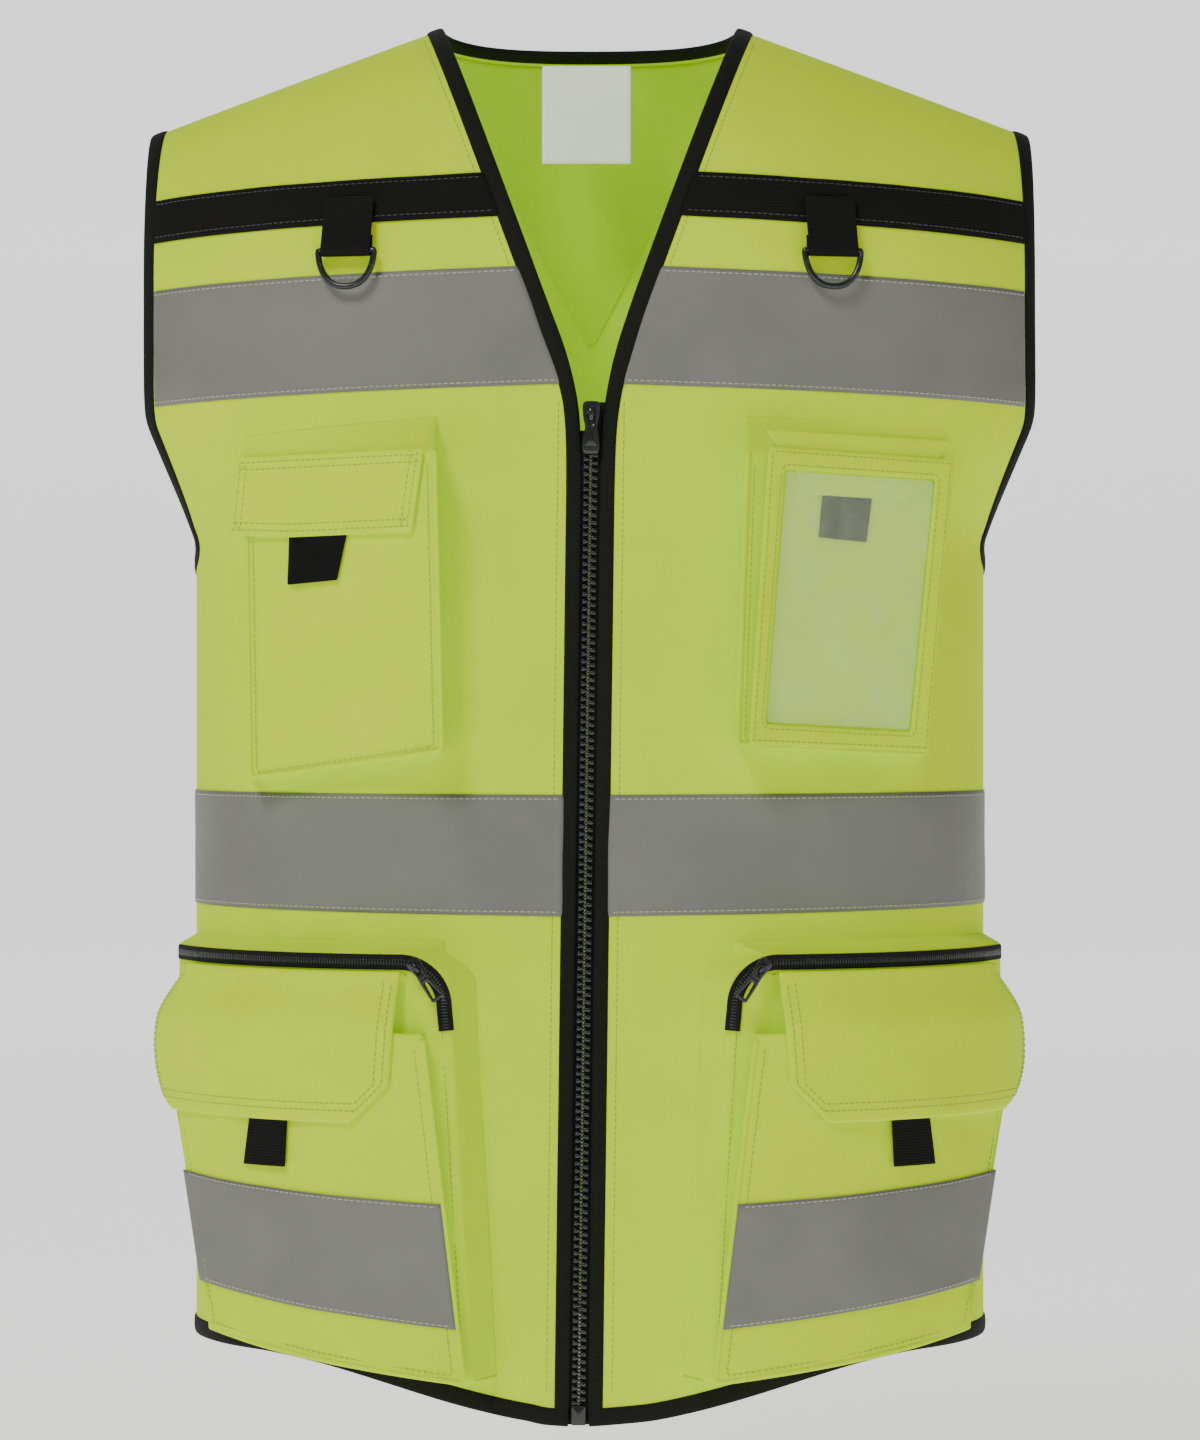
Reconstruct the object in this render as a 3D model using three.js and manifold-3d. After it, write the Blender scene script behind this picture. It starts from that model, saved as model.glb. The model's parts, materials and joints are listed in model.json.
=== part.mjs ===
// High visibility work vest, zipped up, as an assembly of its sewn pieces and fittings.
// Millimetres, +Z up. The front faces -Y, and the origin lies between the two shoulder seams.
// "right" and "left" are the wearer's, so right pieces lie at negative x.
import * as THREE from "three";
import { mergeVertices } from "three/addons/utils/BufferGeometryUtils.js";
import Module from "manifold-3d";

const wasm = await Module();
wasm.setup();

// Torso: an upright tube with a flat band down its front, narrower below the arms.
const waistHalfWidth = 203;
const chestHalfWidth = 245;
const flatHalfWidth = 60;
const halfDepth = 120;
const seamHalfGap = 0.4;
const underarmZ = -269;
const chestZ = -180;
const roundingZ = -132;
const frontHemZ = -701;
const sideHemZ = -668;
const backHemZ = -676;
const hemCurveWidth = 170;

// Shoulders, neck and armholes.
const neckHalfWidth = 75;
const neckPointZ = 5;
const backNeckZ = 3;
const backNeckPanelTop = -3.5;
const neckRise = 12;
const shoulderSlope = 0.367;
const armholeHalfWidth = 227;
const armholeRise = 67;
const bindingWidth = 9;
const neckPanelHalf = neckHalfWidth + bindingWidth;

// Front opening: the edges fold back along two creases beside the zip.
const creaseX = 36;
const zipTopZ = -194;
const zipHalfBand = 12;
const zipTopX = 1;
const zipBottomX = -5.5;
const gap = 0.3;

// Cloth and trim thicknesses, as offsets out from the torso.
const cloth = [0, 1.6];
const bindingLayer = [0, 2.6];
const tapeLayer = [2.8, 3.6];
const webbingLayer = [2.8, 4.3];
const facingLayer = [-2.6, -1.7];

const colours = {
  yellow: 0xc8e020,
  black: 0x1c1d19,
  silver: 0x969790,
  clear: 0xe9f2d8,
  plastic: 0x111312,
  steel: 0x2c2e2e,
  white: 0xf4f4f0,
};

const vest = new THREE.Group();

// --- helpers -------------------------------------------------------------------------------

const lerp = (a, b, t) => a + (b - a) * t;
const clamp = (t) => Math.min(1, Math.max(0, t));
const smooth = (t) => clamp(t) * clamp(t) * (3 - 2 * clamp(t));

function solidOf(geometry) {
  const bare = geometry.clone();
  bare.deleteAttribute("normal");
  bare.deleteAttribute("uv");
  const merged = mergeVertices(bare, 1e-3);
  const triVerts = [];
  const index = merged.index.array;
  for (let i = 0; i < index.length; i += 3) {
    const [a, b, c] = [index[i], index[i + 1], index[i + 2]];
    if (a !== b && b !== c && c !== a) triVerts.push(a, b, c);
  }
  const vertProperties = new Float32Array(merged.attributes.position.array);
  const build = (tris) =>
    new wasm.Manifold(new wasm.Mesh({ numProp: 3, vertProperties, triVerts: new Uint32Array(tris) }));
  const solid = build(triVerts);
  if (solid.volume() >= 0) return solid;
  const turned = [];
  for (let i = 0; i < triVerts.length; i += 3) {
    turned.push(triVerts[i], triVerts[i + 2], triVerts[i + 1]);
  }
  return build(turned);
}

function addNode(name, colour, solid, group = vest) {
  const mesh = solid.getMesh();
  const geometry = new THREE.BufferGeometry();
  geometry.setAttribute("position", new THREE.BufferAttribute(mesh.vertProperties, 3));
  geometry.setIndex(new THREE.BufferAttribute(mesh.triVerts, 1));
  geometry.computeVertexNormals();
  const shiny = colour === "plastic" || colour === "steel" || colour === "clear";
  const material = new THREE.MeshStandardMaterial({
    color: colours[colour],
    roughness: shiny ? 0.3 : 0.85,
    metalness: colour === "steel" ? 0.8 : 0,
  });
  const node = new THREE.Mesh(geometry, material);
  node.name = name;
  group.add(node);
  return node;
}

// A box whose points are carried to place(u, v, w), each of u, v and w from 0 to 1.
function mappedBox(across, along, place) {
  const box = new THREE.BoxGeometry(1, 1, 1, across, along, 1);
  const at = box.attributes.position;
  for (let i = 0; i < at.count; i += 1) {
    const p = place(at.getX(i) + 0.5, at.getY(i) + 0.5, at.getZ(i) + 0.5);
    at.setXYZ(i, p.x, p.y, p.z);
  }
  return solidOf(box);
}

// A closed ring: a torus whose points are carried to place(u, v) round and across it.
function mappedRing(round, sides, place) {
  const ring = new THREE.TorusGeometry(2, 1, sides, round);
  const at = ring.attributes.position;
  const uv = ring.attributes.uv;
  for (let i = 0; i < at.count; i += 1) {
    const p = place(uv.getX(i) % 1, uv.getY(i) % 1);
    at.setXYZ(i, p.x, p.y, p.z);
  }
  return solidOf(ring);
}

// A flat outline of [x, z] points with a thickness along y, front face at yFront.
function plate(outline, yFront, yBack) {
  const shape = new THREE.Shape(outline.map(([x, z]) => new THREE.Vector2(x, z)));
  const geometry = new THREE.ExtrudeGeometry(shape, { depth: yBack - yFront, bevelEnabled: false });
  geometry.rotateX(Math.PI / 2);
  geometry.translate(0, yBack, 0);
  return solidOf(geometry);
}

function block(x0, x1, y0, y1, z0, z1) {
  const box = new THREE.BoxGeometry(x1 - x0, y1 - y0, z1 - z0);
  box.translate((x0 + x1) / 2, (y0 + y1) / 2, (z0 + z1) / 2);
  return solidOf(box);
}

// --- torso surface -------------------------------------------------------------------------

const sideName = (s) => (s < 0 ? "right" : "left");

function halfWidth(z) {
  const rise = smooth((z - underarmZ) / (chestZ - underarmZ));
  return lerp(waistHalfWidth, chestHalfWidth, rise);
}

function shoulderZ(x) {
  const out = Math.abs(x) - neckHalfWidth;
  if (out > 0) return neckPointZ - out * shoulderSlope;
  return neckPointZ + neckRise * (1 - (x / neckHalfWidth) ** 2);
}

// The square of the torso's half depth at x and z.
function depthSquared(x, z) {
  const a = Math.max(0, Math.abs(x) - flatHalfWidth) / (halfWidth(z) - flatHalfWidth);
  const top = shoulderZ(x);
  const t = Math.min(1, Math.max(0, (top - z) / (top - roundingZ)));
  return (2 * t - t * t) * (1 - a * a) * halfDepth ** 2;
}

// The outward normal of the torso: side is -1 on the front and +1 on the back.
function normalAt(x, z, side) {
  const step = 0.05;
  const depth = Math.sqrt(Math.max(0, depthSquared(x, z)));
  const slopeX = (depthSquared(x + step, z) - depthSquared(x - step, z)) / (2 * step);
  const slopeZ = (depthSquared(x, z + step) - depthSquared(x, z - step)) / (2 * step);
  return new THREE.Vector3(-slopeX, 2 * depth * side, -slopeZ).normalize();
}

function skin(x, z, side, offset) {
  const depth = Math.sqrt(Math.max(0, depthSquared(x, z)));
  const point = new THREE.Vector3(x, side * (depth + seamHalfGap), z);
  return point.addScaledVector(normalAt(x, z, side), offset);
}

function armholeX(z) {
  const t = clamp((z - underarmZ) / armholeRise);
  return lerp(waistHalfWidth + 1, armholeHalfWidth, t ** 1.2);
}

function hemZ(x, side) {
  const centre = side < 0 ? frontHemZ : backHemZ;
  return lerp(centre, sideHemZ, smooth(Math.abs(x) / hemCurveWidth));
}

// The x of the zip's middle, which leans a little towards the wearer's right at the hem.
function zipX(z) {
  if (z > zipTopZ) return zipTopX * clamp(1 - (z - zipTopZ) / 65);
  return lerp(zipTopX, zipBottomX, (zipTopZ - z) / (zipTopZ - frontHemZ));
}

// The x of the panel's edge along the V of the neck, on the left side.
function neckEdgeX(z) {
  const slope = (neckPanelHalf - zipHalfBand) / (shoulderZ(neckPanelHalf) - zipTopZ);
  return zipHalfBand + slope * (z - zipTopZ);
}
const creaseTopZ =
  zipTopZ + ((creaseX - zipHalfBand) * (shoulderZ(neckPanelHalf) - zipTopZ)) / (neckPanelHalf - zipHalfBand);

// --- cloth panels --------------------------------------------------------------------------

const panelBottom = bindingWidth + gap;
const underarmPanelZ = underarmZ - bindingWidth;
const lowerShare = 0.25;
const lowerRows = 4;
const upperRows = 12;
// How far up the part above the arms a row lies, closer together near the shoulder.
const climbTo = (share) => Math.sin((share * Math.PI) / 2);

// The x of the cloth's edge inside the armhole binding.
function armholePanelX(z) {
  const narrow = bindingWidth * smooth((z - underarmPanelZ) / 20);
  return armholeX(Math.max(z, underarmZ)) - narrow;
}

// Heights and outer edge of a row of cloth, from the hem at 0 to the shoulder at 1.
function outerEdge(row, side) {
  const bottom = hemZ(waistHalfWidth, side) + panelBottom;
  if (row <= lowerShare) {
    return [waistHalfWidth, lerp(bottom, underarmPanelZ, row / lowerShare)];
  }
  const tipX = armholeHalfWidth - bindingWidth;
  const z = lerp(underarmPanelZ, shoulderZ(tipX), climbTo((row - lowerShare) / (1 - lowerShare)));
  return [Math.min(halfWidth(z), armholePanelX(z)), z];
}

function frontPanel(s) {
  const edge = creaseX + gap / 2;
  const bottom = hemZ(edge, -1) + panelBottom;
  const solid = mappedBox(10, lowerRows + upperRows, (u, v, w) => {
    const z0 =
      v <= lowerShare
        ? lerp(bottom, underarmPanelZ, v / lowerShare)
        : lerp(underarmPanelZ, shoulderZ(neckPanelHalf), climbTo((v - lowerShare) / (1 - lowerShare)));
    const x0 = Math.max(edge, neckEdgeX(z0));
    const [x1, z1] = outerEdge(v, -1);
    const across = Math.sin((u * Math.PI) / 2);
    const x = lerp(x0, x1, across);
    const bend = clamp(1 - v / lowerShare) * (hemZ(x, -1) - lerp(hemZ(x0, -1), hemZ(x1, -1), across));
    return skin(s * x, lerp(z0, z1, across) + bend, -1, lerp(cloth[0], cloth[1], w));
  });
  addNode(sideName(s) + "_front_panel", "yellow", solid);
}

function backNeckPanelZ(x) {
  if (Math.abs(x) > neckPanelHalf) return shoulderZ(x);
  return lerp(backNeckPanelTop, shoulderZ(neckPanelHalf), (x / neckPanelHalf) ** 4);
}

// Columns across the back, with one at each side of the neck.
const neckColumns = 4;
const shoulderColumns = 5;
function acrossBack(u, edgeX) {
  const columns = neckColumns + shoulderColumns;
  const column = Math.abs(2 * u - 1) * columns;
  const s = u < 0.5 ? -1 : 1;
  if (column <= neckColumns) return (s * neckPanelHalf * column) / neckColumns;
  return s * lerp(neckPanelHalf, edgeX, climbTo((column - neckColumns) / shoulderColumns));
}

function backPanel() {
  const columns = 2 * (neckColumns + shoulderColumns);
  const solid = mappedBox(columns, lowerRows + upperRows, (u, v, w) => {
    const [edgeX, edgeZ] = outerEdge(v, 1);
    const x = acrossBack(u, edgeX);
    const bottom = hemZ(x, 1) + panelBottom;
    const z =
      v <= lowerShare
        ? lerp(bottom, underarmPanelZ, v / lowerShare)
        : lerp(underarmPanelZ, backNeckPanelZ(x), climbTo((v - lowerShare) / (1 - lowerShare)));
    return skin(x, Math.abs(u - 0.5) === 0.5 ? edgeZ : z, 1, lerp(cloth[0], cloth[1], w));
  });
  addNode("back_panel", "yellow", solid);
}

// The pointed facing inside the back of the neck.
const facingPointZ = -148;
const facingSpread = 0.52;
function backFacing() {
  const solid = mappedBox(8, 8, (u, v, w) => {
    const half = 3 + v * (backNeckPanelTop - facingPointZ) * facingSpread;
    const x = (2 * u - 1) * half;
    const z = lerp(facingPointZ, backNeckPanelZ(x) - gap, v);
    return skin(x, z, 1, lerp(facingLayer[0], facingLayer[1], w));
  });
  addNode("back_neck_facing", "yellow", solid);
}

// Rows of the front edge, with one at the top of the zip where the edge turns into the V.
function edgeRow(v, bottom, top) {
  return v <= 0.5 ? lerp(bottom, zipTopZ, v * 2) : lerp(zipTopZ, top, v * 2 - 1);
}

// The cloth strip between the crease and the front binding, which folds back.
function frontEdge(s) {
  const edge = creaseX - gap / 2;
  const top = creaseTopZ - 3;
  const solid = mappedBox(2, 6, (u, v, w) => {
    const z = edgeRow(v, frontHemZ + 1, top);
    const inner = z < zipTopZ ? zipHalfBand : neckEdgeX(z);
    const x0 = zipX(z) + s * (inner + gap + 0.2);
    return skin(lerp(x0, s * edge, u), z, -1, lerp(cloth[0], cloth[1], w));
  });
  addNode(sideName(s) + "_front_edge", "yellow", solid);
}

// --- bindings ------------------------------------------------------------------------------

const bandStart = 4.6;
function frontBinding(s) {
  const top = creaseTopZ - gap;
  const solid = mappedBox(1, 6, (u, v, w) => {
    const z = edgeRow(v, frontHemZ, top);
    const inner = z < zipTopZ ? zipHalfBand : neckEdgeX(z);
    const outer = Math.max(bandStart, inner - bindingWidth);
    return skin(zipX(z) + s * lerp(outer, inner, u), z, -1, lerp(bindingLayer[0], bindingLayer[1], w));
  });
  addNode(sideName(s) + "_front_binding", "black", solid);
}

// One strip up the right of the neck, round the back and down the left.
function neckBinding() {
  const frontShare = 1 / 3;
  const neckSeam = 2.6;
  const solid = mappedBox(1, 30, (u, v, w) => {
    const offset = lerp(bindingLayer[0], bindingLayer[1], w);
    const front = Math.min(v, 1 - v) / frontShare;
    const s = v < 0.5 ? -1 : 1;
    if (front <= 1) {
      const zOut = lerp(creaseTopZ, neckPointZ, climbTo(front));
      const zIn = lerp(creaseTopZ, shoulderZ(neckPanelHalf), climbTo(front));
      const x = lerp(neckEdgeX(zOut) - bindingWidth, neckEdgeX(zIn) - gap, u);
      return skin(s * x, lerp(zOut, zIn, u), -1, offset);
    }
    const t = (v - 0.5) / (0.5 - frontShare);
    const x = lerp(neckHalfWidth, neckPanelHalf, u) * t;
    const zOut = lerp(backNeckZ, neckPointZ, t ** 4);
    return skin(x, lerp(zOut, backNeckPanelZ(neckPanelHalf * t) + neckSeam, u), 1, offset);
  });
  addNode("neck_binding", "black", solid);
}

// A loop from the underarm up the front edge, over the shoulder tip and down the back.
function armholeBinding(s) {
  const tipZ = shoulderZ(armholeHalfWidth);
  const solid = mappedRing(2 * upperRows, 4, (u, v) => {
    const side = u < 0.5 ? -1 : 1;
    const climb = u < 0.5 ? u * 2 : 2 - u * 2;
    const corner = Math.round(v * 4) % 4;
    const inner = corner === 1 || corner === 2;
    const offset = corner < 2 ? bindingLayer[0] : bindingLayer[1];
    const along = climbTo(climb);
    if (!inner) {
      const z = lerp(underarmZ, tipZ, along);
      return skin(s * armholeX(z), z, climb === 0 ? -1 : side, offset);
    }
    const tipX = armholeHalfWidth - bindingWidth;
    const z = lerp(underarmPanelZ, shoulderZ(tipX), along);
    return skin(s * (armholePanelX(z) + 2 * gap), z + 2 * gap, climb === 0 ? -1 : side, offset);
  });
  addNode(sideName(s) + "_armhole_binding", "black", solid);
}

// One strip along the hem from crease to crease, round the back.
function hemBinding() {
  const frontShare = 0.25;
  const solid = mappedBox(36, 1, (u, v, w) => {
    const front = Math.min(u, 1 - u) / frontShare;
    const s = u < 0.5 ? -1 : 1;
    const side = front <= 1 ? -1 : 1;
    const x =
      side < 0
        ? s * lerp(creaseX + gap, waistHalfWidth, Math.sin((front * Math.PI) / 2))
        : waistHalfWidth * Math.sin(((u - 0.5) / (0.5 - frontShare)) * (Math.PI / 2));
    const z = hemZ(x, side) + v * bindingWidth;
    return skin(x, z, side, lerp(bindingLayer[0], bindingLayer[1], w));
  });
  addNode("hem_binding", "black", solid);
}

// --- bands across the cloth ----------------------------------------------------------------

// A band on the front from inner x to the armhole or side seam, between two heights.
function frontBand(name, colour, s, inner, outer, low, high, layer) {
  const solid = mappedBox(16, 1, (u, v, w) => {
    const across = Math.sin((u * Math.PI) / 2);
    const z = lerp(low(across), high(across), v);
    const x = lerp(inner(z), outer(z), across);
    return skin(s * x, z, -1, lerp(layer[0], layer[1], w));
  });
  addNode(name, colour, solid);
}

function backBand(name, outer, low, high) {
  const solid = mappedBox(28, 1, (u, v, w) => {
    const z = lerp(low, high, v);
    const x = outer(z) * Math.sin((u - 0.5) * Math.PI);
    return skin(x, z, 1, lerp(tapeLayer[0], tapeLayer[1], w));
  });
  addNode(name, "silver", solid);
}

const chestTapeZ = { innerLow: -186, innerHigh: -128, outerLow: -193, outerHigh: -135 };
const waistTapeZ = { innerLow: -449, innerHigh: -389, outerLow: -446, outerHigh: -388 };
const webbingMiddle = { inner: -92, outer: -100 };
const webbingHalf = 11;
const insideArmhole = (z) => armholeX(z) - bindingWidth - 1;
const insideNeck = (z) => Math.max(creaseX + 2.5, neckEdgeX(z) + 1);
const sideSeam = () => waistHalfWidth;

function bands(s) {
  const name = sideName(s);
  const rise = (from, to) => (t) => lerp(from, to, t);
  frontBand(name + "_chest_tape", "silver", s, insideNeck, insideArmhole,
    rise(chestTapeZ.innerLow, chestTapeZ.outerLow), rise(chestTapeZ.innerHigh, chestTapeZ.outerHigh), tapeLayer);
  frontBand(name + "_waist_tape", "silver", s, () => creaseX + 2.5, sideSeam,
    rise(waistTapeZ.innerLow, waistTapeZ.outerLow), rise(waistTapeZ.innerHigh, waistTapeZ.outerHigh), tapeLayer);
  frontBand(name + "_chest_webbing", "black", s, insideNeck, insideArmhole,
    rise(webbingMiddle.inner - webbingHalf, webbingMiddle.outer - webbingHalf),
    rise(webbingMiddle.inner + webbingHalf, webbingMiddle.outer + webbingHalf), webbingLayer);
}

// --- frames for the fittings ---------------------------------------------------------------

// A group whose local x runs right, z runs along zAxis and -y points along the normal.
function frameAt(origin, normal, zAxis = new THREE.Vector3(0, 0, 1)) {
  const inward = normal.clone().negate();
  const z = zAxis.clone().addScaledVector(normal, -zAxis.dot(normal)).normalize();
  const x = new THREE.Vector3().crossVectors(inward, z);
  const group = new THREE.Group();
  const turn = new THREE.Matrix4().makeBasis(x, inward, z);
  group.quaternion.setFromRotationMatrix(turn);
  group.position.copy(origin);
  vest.add(group);
  return group;
}

// --- main zip ------------------------------------------------------------------------------

const chainZ = -209;
const chainEndZ = -690;
const toothPitch = 14.8;
const toothHeight = 6.8;
const toothReach = -0.95;
const spine = [2.2, 3.5];
const chainHalfDepth = 1.3;
const tapeEdge = [3.8, 11];
const zipFrontY = -(halfDepth + seamHalfGap);

function zipTape(s) {
  const top = s < 0 ? chainZ : zipTopZ;
  const solid = mappedBox(1, 2, (u, v, w) => {
    const z = lerp(frontHemZ, top, v);
    return new THREE.Vector3(zipX(z) + s * lerp(tapeEdge[0], tapeEdge[1], u), zipFrontY + lerp(0.4, 1.3, w), z);
  });
  addNode(sideName(s) + "_zip_tape", "black", solid);
}

function zipTeeth(s) {
  const outline = [[s * spine[1], chainEndZ], [s * spine[1], chainZ]];
  const first = s < 0 ? chainZ - toothPitch / 2 : chainZ;
  outline.push([s * spine[0], chainZ]);
  for (let top = first; top - toothHeight > chainEndZ; top -= toothPitch) {
    if (top < chainZ) outline.push([s * spine[0], top]);
    outline.push([-s * toothReach, top], [-s * toothReach, top - toothHeight], [s * spine[0], top - toothHeight]);
  }
  outline.push([s * spine[0], chainEndZ]);
  const lean = outline.map(([x, z]) => [x + zipX(z), z]);
  if (s < 0) lean.reverse();
  const unique = lean.filter((p, i) => i === 0 || Math.hypot(p[0] - lean[i - 1][0], p[1] - lean[i - 1][1]) > 0.01);
  addNode(sideName(s) + "_zip_teeth", "plastic",
    plate(unique, zipFrontY - chainHalfDepth, zipFrontY + chainHalfDepth));
}

const plateHalfWidth = 4.3;
const sliderTop = 6.5;
const sliderBottom = -7.3;

// A slider body round its own middle: two plates, the wedge between them and the bail in front.
function sliderSolid() {
  const shield = [[-plateHalfWidth, sliderTop - 2], [-2.4, sliderTop], [2.4, sliderTop],
    [plateHalfWidth, sliderTop - 2], [2.9, sliderBottom], [-2.9, sliderBottom]];
  const front = plate(shield, -3.1, -1.7);
  const back = plate(shield, 1.7, 3.1);
  const wedge = block(-0.7, 0.7, -2, 2, 2, 6);
  const bail = block(-1.1, 1.1, -7, -2.9, -3.4, 3.4);
  const pinHole = block(-2, 2, -6, -3.4, -1.3, 1.3);
  return front.add(back).add(wedge).add(bail.subtract(pinHole));
}

// The pull hangs from a crossbar in the bail, with a window that clears the bail.
function pullSolid(length) {
  const outline = [[-3.2, 1], [3.2, 1], [3.2, -5], [4.4, -length + 3], [3.4, -length],
    [-3.4, -length], [-4.4, -length + 3], [-3.2, -5]];
  const windowHole = block(-1.6, 1.6, -8, 0, -5, -0.8);
  return plate(outline, -5.3, -4.1).subtract(windowHole);
}

const sliderZ = -201;
const zipUp = new THREE.Vector3(zipTopX - zipBottomX, 0, zipTopZ - frontHemZ).normalize();
const frontNormal = new THREE.Vector3(0, -1, 0);

function mainSlider() {
  const at = new THREE.Vector3(zipX(sliderZ), zipFrontY, sliderZ);
  const group = frameAt(at, frontNormal, zipUp);
  addNode("main_zip_slider", "plastic", sliderSolid(), group);
  addNode("main_zip_pull", "plastic", pullSolid(20), group);
}

function retainerBox() {
  const x = zipX(chainEndZ);
  addNode("zip_retainer_box", "plastic",
    block(x - 3.4, x + 3.4, zipFrontY - 2.2, zipFrontY + 2.2, frontHemZ + 1, chainEndZ - gap));
}

// --- D-rings -------------------------------------------------------------------------------

const ringX = 119;
const tabHalf = 13;
const tabZ = { top: -108.8, bottom: -118 };
const ringZ = -120.5;
const ringOffset = 5.9;
const ringHalf = 14.3;
const ringDrop = 18;
const wireRadius = 1.6;

function ringTab(s) {
  const solid = mappedBox(2, 1, (u, v, w) =>
    skin(s * (ringX + tabHalf * (2 * u - 1)), lerp(tabZ.bottom, tabZ.top, v), -1, lerp(webbingLayer[0], webbingLayer[1], w)));
  addNode(sideName(s) + "_ring_tab", "black", solid);
}

function dRing(s) {
  const group = frameAt(skin(s * ringX, ringZ, -1, ringOffset), normalAt(s * ringX, ringZ, -1));
  const barShare = 0.3;
  const path = (t) => {
    if (t < barShare) return [ringHalf * ((2 * t) / barShare - 1), 0];
    const a = (Math.PI * (t - barShare)) / (1 - barShare);
    return [ringHalf * Math.cos(a), -ringDrop * Math.sin(a)];
  };
  const solid = mappedRing(26, 6, (u, v) => {
    const [x, z] = path(u);
    const [bx, bz] = path((u + 0.995) % 1);
    const [ax, az] = path((u + 0.005) % 1);
    const size = Math.hypot(ax - bx, az - bz);
    const out = wireRadius * Math.cos(2 * Math.PI * v);
    const y = wireRadius * Math.sin(2 * Math.PI * v);
    return new THREE.Vector3(x + (out * (az - bz)) / size, y, z - (out * (ax - bx)) / size);
  });
  addNode(sideName(s) + "_d_ring", "steel", solid, group);
}

// --- chest pockets -------------------------------------------------------------------------

// Each pocket's front lies in an upright plane. Outlines are [across, z], across running right.
const pocketX = 126;
const pocketY = -119;
const pocketTurn = (26 * Math.PI) / 180;
const wall = 1;

const chestPocket = {
  right: {
    topLeft: [-51, -222], topRight: [56, -220], bottomLeft: [-48, -381], bottomRight: [60, -367],
    headerTop: [-210, -202],
    flap: [[-55, -221], [51, -219], [45, -260], [-59, -260]],
    tab: [[-24, -260.3], [9, -260.3], [3, -283], [-25, -285]],
  },
  left: {
    topLeft: [-54, -220], topRight: [57, -222], bottomLeft: [-60, -364], bottomRight: [47, -369],
    headerTop: [-202, -205],
    flap: [[-45, -209.5], [61, -212.5], [44, -233], [34, -243], [-23, -241], [-28, -230], [-38, -218]],
    tab: [[-12.5, -242.4], [15.5, -243.3], [12, -264], [-15, -262]],
  },
};
const holder = {
  frame: [[-44, -218], [61, -222], [46, -368], [-55, -364]],
  window: [[-34, -230], [49, -233], [35, -357], [-45, -353]],
  offset: [2.4, 3.6],
  windowOffset: [2.8, 3.2],
};

const pocketNormal = (s) => new THREE.Vector3(Math.sin(s * pocketTurn), -Math.cos(s * pocketTurn), 0);

function onPlane(s, across, z, offset) {
  const point = new THREE.Vector3(s * pocketX, pocketY, z);
  point.x += across * Math.cos(s * pocketTurn);
  point.y += across * Math.sin(s * pocketTurn);
  return point.addScaledVector(pocketNormal(s), offset);
}

function pocketGroup(s) {
  return frameAt(new THREE.Vector3(s * pocketX, pocketY, 0), pocketNormal(s));
}

// A point of the pocket's box: u across, v up, w from the torso at 0 to the front plane at 1.
function pocketPoint(s, shape, u, v, w) {
  const across = lerp(lerp(shape.bottomLeft[0], shape.bottomRight[0], u), lerp(shape.topLeft[0], shape.topRight[0], u), v);
  const z = lerp(lerp(shape.bottomLeft[1], shape.bottomRight[1], u), lerp(shape.topLeft[1], shape.topRight[1], u), v);
  const front = onPlane(s, across, z, 0);
  return skin(front.x, z, -1, 3.4).lerp(front, w);
}

function chestPocketBody(s) {
  const shape = chestPocket[sideName(s)];
  const outer = mappedBox(7, 2, (u, v, w) => pocketPoint(s, shape, u, v, w));
  const inner = mappedBox(7, 2, (u, v, w) =>
    pocketPoint(s, shape, lerp(0.02, 0.98, u), lerp(0.02, 1.05, v), lerp(0.12, 0.88, w)));
  addNode(sideName(s) + "_chest_pocket", "yellow", outer.subtract(inner));
}

function chestHeader(s) {
  const shape = chestPocket[sideName(s)];
  const solid = mappedBox(8, 1, (u, v, w) => {
    const low = pocketPoint(s, shape, u, 1, w);
    low.z += gap;
    const topZ = lerp(shape.headerTop[0], shape.headerTop[1], u);
    return low.lerp(skin(low.x, topZ, -1, lerp(2.2, 3.2, w)), v);
  });
  addNode(sideName(s) + "_chest_pocket_header", "yellow", solid);
}

function chestFlap(s) {
  const shape = chestPocket[sideName(s)];
  const group = pocketGroup(s);
  addNode(sideName(s) + "_chest_flap", "yellow", plate(shape.flap, -1.8, -0.4), group);
  addNode(sideName(s) + "_chest_flap_tab", "black", plate(shape.tab, -1.8, -0.4), group);
}

function idHolder() {
  const group = pocketGroup(1);
  const hole = holder.window.map(([x, z]) => [x + (x < 0 ? -gap : gap), z + (z > -300 ? gap : -gap)]);
  const frame = plate(holder.frame, -holder.offset[1], -holder.offset[0]).subtract(plate(hole, -5, 0));
  addNode("id_holder_frame", "yellow", frame, group);
  addNode("id_holder_window", "clear", plate(holder.window, -holder.windowOffset[1], -holder.windowOffset[0]), group);
}

// --- lower pockets -------------------------------------------------------------------------

// The lower pockets bend round an upright axis, so their points are an angle out, z and a radius.
const bendX = 60;
const bendY = 15;
const degrees = Math.PI / 180;
const rearRadius = 157;
const frontInner = 157.6;
const frontTopRadius = 160;
const frontFullRadius = 166.5;
const flapZ = -475;
const mouthZ = -505;

function onBend(s, angle, z, radius) {
  const a = angle * degrees;
  return new THREE.Vector3(s * (bendX + radius * Math.sin(a)), bendY - radius * Math.cos(a), z);
}

// The torso's distance from the bend's axis at an angle.
function torsoRadius(angle) {
  const sin = Math.sin(angle * degrees);
  const cos = Math.cos(angle * degrees);
  if (angle <= 0) return (halfDepth + bendY) / cos;
  const wide = waistHalfWidth - flatHalfWidth;
  const square = (sin / wide) ** 2 + (cos / halfDepth) ** 2;
  const linear = (bendY * cos) / halfDepth ** 2;
  return (linear + Math.sqrt(linear ** 2 + square * (1 - (bendY / halfDepth) ** 2))) / square;
}

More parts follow.
